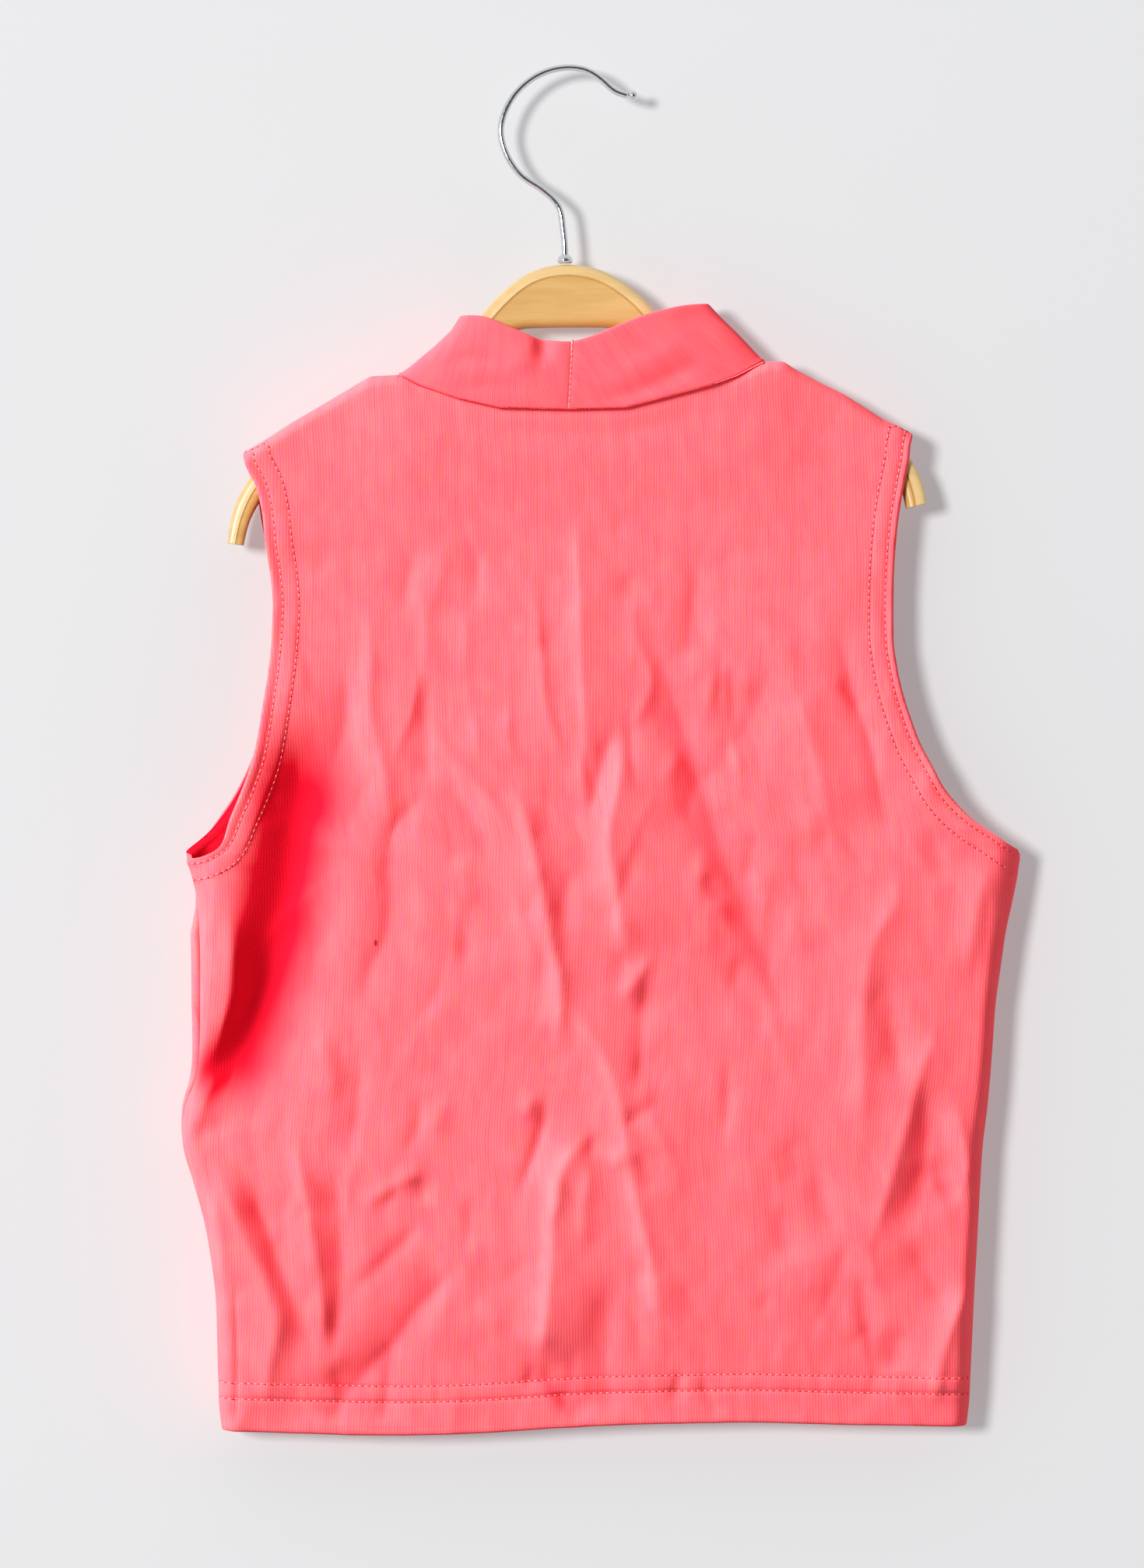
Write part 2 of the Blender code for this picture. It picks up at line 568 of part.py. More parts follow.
def collar_row(rise):
    """One level of the collar, from the centre-back seam round the right side and back to it."""
    left_x = np.interp(rise, column(COLLAR_SIDES, "rise"), column(COLLAR_SIDES, "left_x"))
    left_z = np.interp(rise, column(COLLAR_SIDES, "rise"), column(COLLAR_SIDES, "left_z"))
    right_x = np.interp(rise, column(COLLAR_SIDES, "rise"), column(COLLAR_SIDES, "right_x"))
    right_z = np.interp(rise, column(COLLAR_SIDES, "rise"), column(COLLAR_SIDES, "right_z"))
    seam_x = SEAM_BOTTOM_X + (SEAM_TOP_X - SEAM_BOTTOM_X) * rise

    def height(x, name):
        """Height at x, between the neckline and the folded top edge."""
        share = (x - left_x) / (right_x - left_x)
        low_x = NECK_LEFT + share * (NECK_RIGHT - NECK_LEFT)
        top_left = COLLAR_TOP[0].x
        top_x = top_left + share * (COLLAR_TOP[-1].x - top_left)
        edge = np.interp([low_x - 1.0, low_x, low_x + 1.0], column(TOP_EDGE, "x"), column(TOP_EDGE, name))
        slope = (edge[2] - edge[0]) / 2.0
        low = edge[1] + SEAM_GAP * math.hypot(1.0, COLLAR_CLEARANCE * slope)
        top = np.interp(top_x, column(COLLAR_TOP, "x"), column(COLLAR_TOP, name))
        side_low = COLLAR_SIDES[0].left_z + share * (COLLAR_SIDES[0].right_z - COLLAR_SIDES[0].left_z)
        side_top = COLLAR_SIDES[-1].left_z + share * (COLLAR_SIDES[-1].right_z - COLLAR_SIDES[-1].left_z)
        side = left_z + share * (right_z - left_z)
        return side + (low - side_low) * (1.0 - rise) + (top - side_top) * rise

    def half_loop(shares, sign, name):
        """Points across the back (sign -1) or the front (sign 1) of this level."""
        across = [left_x + share * (right_x - left_x) for share in shares]
        return [(x, sign * collar_depth(x, left_x, right_x), height(x, name)) for x in across]

    shares = neck_shares()
    seam_share = (seam_x - left_x) / (right_x - left_x)
    gap_share = SEAM_GAP / 2.0 / (right_x - left_x)
    right_back = [seam_share + gap_share] + [share for share in shares if share > seam_share + 0.02]
    left_back = [share for share in shares if share < seam_share - 0.02] + [seam_share - gap_share]
    points = half_loop(right_back, -1.0, "back_z")
    points += half_loop(reversed(shares[1:-1]), 1.0, "front_z")
    points += half_loop(left_back, -1.0, "back_z")
    return points


def make_collar(material, collection, parent):
    """The mock-neck band: a folded strip that leaves its seam open at centre back."""
    rows = [collar_row(index / COLLAR_ROWS) for index in range(COLLAR_ROWS + 1)]
    upright = [(x, y, z + COLLAR_UPRIGHT) for x, y, z in rows[0]]
    rows.insert(1, upright)
    mesh = grid_mesh("collar_band", rows, flip=False)
    collar = add_object("collar_band", mesh, material, collection, parent)
    shell = collar.modifiers.new("cloth", "SOLIDIFY")
    shell.thickness = COLLAR_WALL * MM
    shell.offset = -1.0
    return collar


def board_section(width):
    """Outline of a cut across the board: distance from the upper edge, and y."""
    half = BOARD_THICK / 2.0
    radius = min(BOARD_EDGE, 0.3 * width)
    groove = min(GROOVE_INSET, 0.58 * width)
    bevel = radius * (1.0 - math.cos(math.pi / 4))
    side = [
        (0.0, half - radius),
        (bevel, half - bevel),
        (radius, half),
        (groove - GROOVE_WIDTH / 2.0, half),
        (groove, half - GROOVE_DEPTH),
        (groove + GROOVE_WIDTH / 2.0, half),
        (width - radius, half),
        (width - bevel, half - bevel),
        (width, half - radius),
    ]
    return [(down, -y) for down, y in side] + [(down, y) for down, y in reversed(side)]


def make_board(material, collection, parent):
    """The hanger board: a loft through its cuts, closed at both tips."""
    sections = []
    for station in BOARD_STATIONS:
        run_x = station.low_x - station.top_x
        run_z = station.low_z - station.top_z
        width = math.hypot(run_x, run_z)
        sections.append([
            (station.top_x + run_x * down / width, y, station.top_z + run_z * down / width)
            for down, y in board_section(width)
        ])
    mesh = bpy.data.meshes.new("hanger_board")
    board = bmesh.new()
    rings = [[board.verts.new([value * MM for value in point]) for point in ring] for ring in sections]
    for ring, after in zip(rings[:-1], rings[1:]):
        for index in range(len(ring)):
            following = (index + 1) % len(ring)
            board.faces.new([ring[index], ring[following], after[following], after[index]])
    board.faces.new(reversed(rings[0]))
    board.faces.new(rings[-1])
    bmesh.ops.recalc_face_normals(board, faces=board.faces)
    board.to_mesh(mesh)
    board.free()
    mesh.shade_smooth()
    mesh.set_sharp_from_angle(angle=math.radians(40))
    return add_object("hanger_board", mesh, material, collection, parent)


def make_hook(material, collection, parent):
    """The bent wire, the ring at its foot and the bead on its end."""
    route = smooth_path([tuple(point) for point in HOOK_LINE], WIRE_STEP)
    curve = bpy.data.curves.new("hook_wire", "CURVE")
    curve.dimensions = "3D"
    curve.bevel_depth = WIRE_RADIUS * MM
    curve.bevel_resolution = 2
    curve.use_fill_caps = True
    spline = curve.splines.new("POLY")
    spline.points.add(len(route) - 1)
    for point, (x, z) in zip(spline.points, route):
        point.co = (x * MM, 0.0, z * MM, 1.0)
    add_object("hook_wire", curve, material, collection, parent)

    foot_z = BOARD_STATIONS[len(BOARD_STATIONS) // 2 - 1].top_z + SEAM_GAP
    bore = WIRE_RADIUS + SEAM_GAP
    profile = [
        (bore, FERRULE_HEIGHT),
        (bore + 0.5, FERRULE_HEIGHT),
        (FERRULE_RADIUS - 0.3, FERRULE_HEIGHT * 0.78),
        (FERRULE_RADIUS, FERRULE_HEIGHT * 0.45),
        (FERRULE_RADIUS - 0.4, 0.0),
        (bore, 0.0),
    ]
    mesh = bpy.data.meshes.new("hook_ferrule")
    ring = bmesh.new()
    corners = [ring.verts.new((radius * MM, 0.0, rise * MM)) for radius, rise in profile]
    for corner, after in zip(corners, corners[1:] + corners[:1]):
        ring.edges.new((corner, after))
    ring.to_mesh(mesh)
    ring.free()
    ferrule = add_object("hook_ferrule", mesh, material, collection, parent)
    ferrule.location = (HOOK_LINE[0].x * MM, 0.0, foot_z * MM)
    turn = ferrule.modifiers.new("turned", "SCREW")
    turn.steps = FERRULE_SIDES
    turn.render_steps = FERRULE_SIDES
    turn.use_merge_vertices = True
    turn.merge_threshold = 0.00001

    mesh = bpy.data.meshes.new("hook_tip")
    bead = bmesh.new()
    bmesh.ops.create_uvsphere(bead, u_segments=14, v_segments=8, radius=TIP_RADIUS * MM)
    bead.to_mesh(mesh)
    bead.free()
    mesh.shade_smooth()
    tip = add_object("hook_tip", mesh, material, collection, parent)
    tip.location = (HOOK_TIP.x * MM, 0.0, HOOK_TIP.z * MM)


def main():
    clear_scene()
    collection = bpy.data.collections.new("mock_neck_top_on_hanger")
    bpy.context.scene.collection.children.link(collection)
    origin = bpy.data.objects.new("hanging_point", None)
    collection.objects.link(origin)

    jersey = make_material("coral_jersey", (0.90, 0.20, 0.25), 0.85, 0.0)
    wood = make_material("pale_wood", (0.76, 0.47, 0.17), 0.45, 0.0)
    chrome = make_material("chrome_wire", (0.80, 0.80, 0.80), 0.15, 1.0)

    make_panel("back_panel", False, jersey, collection, origin)
    make_panel("front_panel", True, jersey, collection, origin)
    make_collar(jersey, collection, origin)
    make_board(wood, collection, origin)
    make_hook(chrome, collection, origin)


main()
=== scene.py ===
"""Sleeveless mock-neck top on a flat hanger: the dressed model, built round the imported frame.

Tables are in millimetres from the point inside the hook's bend that rests on a rail. +X is the
right-hand side seen from the garment's back, the back faces -Y, and +Z is up.
"""
import math
from collections import namedtuple

import bmesh
import bpy
import numpy as np
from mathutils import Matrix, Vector
from mathutils.bvhtree import BVHTree


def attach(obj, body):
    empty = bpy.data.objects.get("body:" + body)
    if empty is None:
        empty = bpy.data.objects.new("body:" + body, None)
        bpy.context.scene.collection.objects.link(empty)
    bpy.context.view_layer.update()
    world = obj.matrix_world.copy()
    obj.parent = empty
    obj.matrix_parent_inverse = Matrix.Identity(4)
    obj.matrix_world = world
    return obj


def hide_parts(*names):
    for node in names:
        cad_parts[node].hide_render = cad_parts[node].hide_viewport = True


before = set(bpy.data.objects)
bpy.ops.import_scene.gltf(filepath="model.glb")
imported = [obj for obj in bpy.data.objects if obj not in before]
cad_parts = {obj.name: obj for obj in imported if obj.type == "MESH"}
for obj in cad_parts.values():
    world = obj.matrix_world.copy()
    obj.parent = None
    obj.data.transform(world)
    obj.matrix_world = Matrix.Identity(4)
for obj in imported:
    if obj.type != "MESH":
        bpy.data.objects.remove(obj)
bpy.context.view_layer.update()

MM = 0.001

# ---- driving dimensions, in millimetres -------------------------------------------------------
CLOTH = 1.2              # one layer of jersey
TURNED_HEM = 2.4         # two layers, where an edge is turned in
COLLAR_WALL = 2.0        # both layers of the folded collar
COLLAR_LAYER = 0.9       # one of them
SEAM_GAP = 0.3           # between two pieces that are sewn together
SEAM_SHUT = 0.02         # from a side or shoulder seam's edge to its line, drawn shut by its thread
HEM_DEPTH = 20.0         # turned hem at the bottom
ARMHOLE_HEM = 9.0        # turned hem at an armhole
HEM_STEP = 1.2           # over which a turned hem thins to one layer
HEM_ROWS = (13.6, 20.0)  # the bottom hem's two rows of stitches, above the fold
ARMHOLE_ROWS = (2.2, 8.7)
HEM_MIDDLE = 17.0        # between the rows of stitches, and how far the ripples there spread
HEM_SPREAD = 5.0
ARMHOLE_MIDDLE = 5.5
ARMHOLE_SPREAD = 4.0
HEM_RIPPLE = (1.15, 1.7, 7.3, 9.1, 0.6)
ARMHOLE_RIPPLE = (1.05, 1.5, 6.1, 8.3, 0.4)
HEM_RELIEF = 0.35        # how far a turned hem stands out
GROOVE_RELIEF = 0.42     # depth of the groove at a row of stitches, and how far it spreads
GROOVE_SPREAD = 0.75
RIPPLE = 0.10            # height of the ripples between the rows
PUCKER = 0.22            # height of the puckers under the collar, and how far down they reach
PUCKER_REACH = 3.5
PUCKER_START = 1.5

HANG_DEPTH = 7.4         # outside of the cloth to the hanger's mid plane, at the shoulders
SHOULDER_DROP = 5.0      # height over which the cloth rounds over the hanger
SIDE_ROUND = 6.5         # width over which a panel rounds into its side seam
UNDERARM_ROUND = 13.0    # and round the underarm corner
CORNER_DROP = 32.0       # that starts this far under it
CORNER_RISE = 28.0
FLAT_STRIP = 1.2         # width of the flat strip beside a sewn edge
BACK_BILLOW = 5.5        # how far the loose back stands out below the hanger
FRONT_BILLOW = 6.5       # how far the loose front stands out below the hanger
HEM_TUCK = 3.4           # how far both lean back in at the hem
HEM_TUCK_TOP = -488.0    # and where that starts
HEM_TUCK_RISE = 60.0
BILLOW_TOP = -180.0      # the cloth starts to stand out from here down
BILLOW_RISE = 150.0      # and stands out fully this much lower
BILLOW_EDGE = 0.35       # how much of that its sides have
BILLOW_POWER = 0.6
NECK_LOW = -190.0        # the cloth turns out to the collar from here up, over this height and reach
NECK_RISE = 45.0
NECK_REACH = 30.0
NECK_FADE = 36.0
LEAST_DEPTH_BACK = 1.6   # the deepest fold in the back stays this far from the mid plane
LEAST_DEPTH_FRONT = 7.6  # and in the front
LEAST_LOW = -215.0       # above this the cloth lies on the hanger, and no fold sinks in
LEAST_RISE = 30.0
LEAST_SOFT = 0.7         # how softly a deep fold meets that depth

COLLAR_DEPTH = 10.4      # outside of the collar to the mid plane
COLLAR_SQUARENESS = 4.0  # exponent of the collar's flattened oval
COLLAR_GAP = 0.12        # from its lower edge to the panels, closer than in the solids
COLLAR_CLEARANCE = 1.8   # widens that gap where the neckline is steep
COLLAR_UPRIGHT = 0.8     # height beside its lower seam where the collar goes straight up

BOARD_THICK = 9.0        # hanger board
BOARD_EDGE = 3.8         # radius of its rounded edges
GROOVE_INSET = 4.8       # engraved line, from the board's upper edge
GROOVE_WIDTH = 0.9
GROOVE_DEPTH = 0.8

WIRE_RADIUS = 1.35
TIP_RADIUS = 1.95
FERRULE_RADIUS = 3.1
FERRULE_HEIGHT = 3.4

# ---- outline tables, in millimetres -----------------------------------------------------------
# Heights at which both panels are measured, from the hem to the shoulder tips. seam is 1 where the
# edge is sewn to the other panel and 0 along the open armhole.
Level = namedtuple("Level", "left_x left_z right_x right_z seam")
LEVELS = [Level(*row) for row in (
    (-137.7, -543.3, 160.4, -541.6, 1.0),
    (-138.7, -533.5, 161.4, -532.0, 1.0),
    (-139.0, -523.3, 161.9, -521.6, 1.0),
    (-139.1, -521.3, 162.0, -519.6, 1.0),
    (-139.5, -506.0, 162.7, -505.0, 1.0),
    (-140.1, -490.0, 163.4, -489.5, 1.0),
    (-142.0, -474.5, 164.3, -474.0, 1.0),
    (-144.9, -459.0, 165.1, -459.0, 1.0),
    (-149.2, -443.5, 165.9, -444.0, 1.0),
    (-153.2, -429.0, 166.9, -429.0, 1.0),
    (-152.4, -415.0, 168.6, -415.0, 1.0),
    (-147.6, -401.5, 169.9, -401.5, 1.0),
    (-146.3, -388.0, 170.9, -388.0, 1.0),
    (-146.1, -374.0, 172.0, -373.0, 1.0),
    (-146.1, -359.0, 174.0, -358.5, 1.0),
    (-146.4, -345.0, 176.1, -344.0, 1.0),
    (-147.6, -331.0, 178.9, -331.0, 1.0),
    (-150.2, -320.0, 181.1, -319.0, 1.0),
    (-151.7, -315.0, 181.6, -312.5, 1.0),
    (-146.6, -314.4, 176.6, -309.0, 0.7),
    (-141.2, -312.3, 171.3, -305.3, 0.4),
    (-136.4, -308.8, 161.9, -299.2, 0.2),
    (-131.2, -297.5, 151.7, -289.3, 0.0),
    (-126.4, -286.0, 145.3, -278.4, 0.0),
    (-122.8, -275.5, 140.2, -268.5, 0.0),
    (-120.5, -264.0, 136.6, -258.5, 0.0),
    (-118.6, -251.5, 133.4, -248.0, 0.0),
    (-116.8, -239.3, 131.2, -237.5, 0.0),
    (-115.6, -226.8, 129.8, -226.5, 0.0),
    (-115.0, -214.3, 129.7, -214.0, 0.0),
    (-115.9, -201.9, 130.0, -201.5, 0.0),
    (-117.9, -189.4, 130.8, -189.0, 0.0),
    (-119.2, -176.9, 132.2, -176.5, 0.0),
    (-122.1, -164.8, 134.5, -163.5, 0.0),
    (-125.5, -158.3, 136.2, -154.5, 0.0),
    (-127.1, -152.0, 137.7, -144.5, 0.0),
)]
UNDERARM = 18            # row of LEVELS at the underarm corners

# The front panel's left armhole edge, and how far its right one stands outside (+) or inside (-) the
# back panel's.
FrontLeft = namedtuple("FrontLeft", "z x")
FRONT_LEFT = [FrontLeft(*row) for row in (
    (-315.2, -151.8),
    (-313.6, -152.0),
    (-311.4, -150.9),
    (-308.8, -148.4),
    (-306.0, -145.4),
    (-302.6, -141.4),
    (-298.0, -136.8),
    (-290.7, -131.8),
    (-277.0, -124.9),
    (-263.0, -119.6),
    (-250.0, -115.8),
    (-232.0, -112.8),
    (-215.0, -112.2),
    (-200.0, -114.6),
    (-185.0, -119.0),
    (-168.0, -122.4),
    (-158.3, -125.6),
    (-152.0, -127.1),
)]
FrontRight = namedtuple("FrontRight", "z out")
FRONT_RIGHT = [FrontRight(*row) for row in (
    (-315.0, 0.0),
    (-308.8, -1.1),
    (-303.0, -2.0),
    (-297.5, -3.2),
    (-289.0, -4.5),
    (-275.0, -6.0),
    (-250.0, -6.5),
    (-215.0, -5.0),
    (-185.0, -3.0),
    (-168.0, -1.0),
    (-150.0, 0.0),
)]

WRAP_LEAD = 0.25         # how early in the rounding of the side the wrap stands out

# Where the left side seam lies behind the outline, the front wraps round the side to meet it.
SideWrap = namedtuple("SideWrap", "z seam_y front_out")
SIDE_WRAP = [SideWrap(*row) for row in (
    (-430.0, 0.0, 0.0),
    (-402.0, -2.0, 3.2),
    (-374.0, -2.6, 4.2),
    (-345.0, -2.4, 4.4),
    (-328.0, 0.0, 0.0),
)]

# The upper edge of the panels: shoulder seams, and the neckline between the two neck points.
TopPoint = namedtuple("TopPoint", "x back_z front_z")
TOP_EDGE = [TopPoint(*row) for row in (
    (-127.1, -152.0, -152.0),
    (-123.0, -149.2, -149.2),
    (-110.6, -141.1, -141.1),
    (-96.3, -132.7, -132.7),
    (-78.2, -122.0, -122.0),
    (-66.8, -121.4, -121.4),
    (-58.3, -126.0, -138.0),
    (-43.8, -131.2, -157.0),
    (-26.4, -135.2, -171.0),
    (0.9, -135.8, -178.5),
    (23.5, -135.2, -173.0),
    (41.6, -130.5, -160.0),
    (58.2, -126.0, -143.0),
    (68.1, -122.4, -131.0),
    (79.5, -116.2, -116.2),
    (87.0, -116.0, -116.0),
    (92.4, -119.5, -119.5),
    (101.6, -124.5, -124.5),
    (110.9, -129.0, -129.0),
    (119.9, -134.6, -134.6),
    (127.3, -139.4, -139.4),
    (132.7, -141.6, -141.6),
    (137.7, -144.5, -144.5),
)]
NECK_LEFT = -66.8
NECK_RIGHT = 79.5

HemPoint = namedtuple("HemPoint", "x back_z front_z")
HEM_EDGE = [HemPoint(*row) for row in (
    (-137.7, -543.3, -543.3),
    (-104.4, -544.2, -543.4),
    (-72.1, -544.9, -543.6),
    (-39.9, -544.2, -543.2),
    (10.3, -541.1, -540.6),
    (47.7, -540.0, -540.2),
    (74.8, -539.7, -540.2),
    (101.6, -540.4, -541.8),
    (133.6, -541.1, -542.6),
    (160.4, -541.6, -541.6),
)]

# The collar's folded top edge, and its side outline up from each neck point.
CollarTop = namedtuple("CollarTop", "x back_z front_z")
COLLAR_TOP = [CollarTop(*row) for row in (
    (-42.6, -97.4, -97.4),
    (-33.8, -98.2, -107.0),
    (-21.1, -103.2, -123.0),
    (-6.7, -108.1, -138.0),
    (2.3, -108.4, -141.5),
    (8.4, -107.0, -141.0),
    (20.5, -102.2, -134.0),
    (32.5, -97.6, -120.0),
    (46.0, -94.2, -103.5),
    (57.5, -92.4, -92.4),
)]
CollarSide = namedtuple("CollarSide", "rise left_x left_z right_x right_z")
COLLAR_SIDES = [CollarSide(*row) for row in (
    (0.0, -66.8, -121.1, 79.5, -115.9),
    (0.2, -61.8, -117.4, 75.2, -111.4),
    (0.5, -52.8, -109.6, 68.6, -104.2),
    (0.8, -46.2, -103.2, 62.4, -97.8),
    (1.0, -42.6, -97.4, 57.5, -92.4),
)]
SEAM_BOTTOM_X = 0.9
SEAM_TOP_X = 2.3

# The hanger board: one row for each cut across it, from the left tip to the right tip.
Station = namedtuple("Station", "top_x top_z low_x low_z")
BOARD_STATIONS = [Station(*row) for row in (
    (-135.4, -188.6, -129.0, -189.6),
    (-134.1, -180.0, -127.0, -180.7),
    (-132.0, -172.1, -123.4, -173.4),
    (-128.4, -165.7, -120.2, -168.2),
    (-124.5, -159.8, -116.2, -163.2),
    (-117.4, -151.4, -110.2, -158.4),
    (-108.2, -142.0, -102.0, -152.8),
    (-96.3, -134.9, -91.0, -146.6),
    (-84.5, -128.4, -79.5, -140.2),
    (-75.5, -125.2, -68.0, -135.4),
    (-66.0, -125.4, -57.5, -131.6),
    (-57.0, -122.0, -47.5, -126.4),
    (-48.0, -115.8, -38.5, -118.8),
    (-40.4, -107.6, -30.0, -110.6),
    (-33.6, -97.2, -22.0, -104.4),
    (-26.0, -88.8, -15.5, -102.7),
    (-14.2, -80.0, -7.5, -102.5),
    (0.9, -77.0, 0.9, -102.4),
    (15.6, -79.9, 9.5, -102.4),
    (28.4, -88.2, 17.5, -102.6),
    (36.8, -96.9, 25.2, -104.4),
    (42.3, -105.4, 33.0, -109.4),
    (49.5, -113.0, 41.2, -117.0),
    (60.0, -118.4, 51.2, -123.2),
    (71.5, -121.0, 63.2, -128.6),
    (82.6, -121.0, 75.6, -132.2),
    (92.6, -122.6, 86.4, -135.4),
    (101.6, -126.8, 96.2, -139.4),
    (110.9, -131.3, 105.6, -143.6),
    (119.9, -136.9, 114.4, -148.0),
    (127.6, -142.6, 122.0, -152.4),
    (133.6, -148.6, 128.0, -156.8),
    (138.4, -155.6, 131.8, -161.6),
    (141.6, -161.6, 134.2, -166.2),
    (143.6, -167.4, 135.2, -170.4),
    (144.4, -172.6, 136.2, -174.8),
)]

# The hook's centre line, from the board up round the bend to its free end.
HookPoint = namedtuple("HookPoint", "x z")
HOOK_LINE = [HookPoint(*row) for row in (
    (-0.3, -76.6),
    (-0.3, -72.6),
    (-1.2, -62.0),
    (-2.6, -54.2),
    (-9.0, -47.6),
    (-18.1, -41.4),
    (-24.1, -32.3),
    (-26.1, -24.0),
    (-24.1, -15.2),
    (-18.8, -7.2),
    (-10.8, -1.2),
    (-0.7, 1.65),
    (8.4, 0.6),
    (14.6, -3.3),
    (19.6, -7.9),
    (24.4, -9.5),
)]
HOOK_TIP = HookPoint(26.8, -9.5)

# ---- folds ------------------------------------------------------------------------------------
# depth is how far the cloth sinks (+) or stands out (-). It fades over left and right, to either side
# of a path that runs downwards; power 2 is a soft fold and 1 a pressed crease; start and end are the
# shares of the length over which the ends die out. A row ends with its path: x and z of each point.
Fold = namedtuple("Fold", "depth left right power start end path")
TROUGH_FOLDS = 3         # the first folds of the back are its trough, which the front doesn't have
MIRROR_X = 24.0          # where the back's creases go on the front: x is taken from this
MIRROR_LOWER = 7.0       # how far down they move
MIRROR_SWAY = 9.0        # how far they are drawn aside and along
MIRROR_WAVES = (70.0, 50.0)
MIRROR_DEPTH = 0.85      # and how deep they are there, by the back's


def crease(depth, left, right, power, start, end, *path):
    """A fold from one row of a table."""
    return Fold(depth, left, right, power, start, end, list(zip(path[::2], path[1::2])))


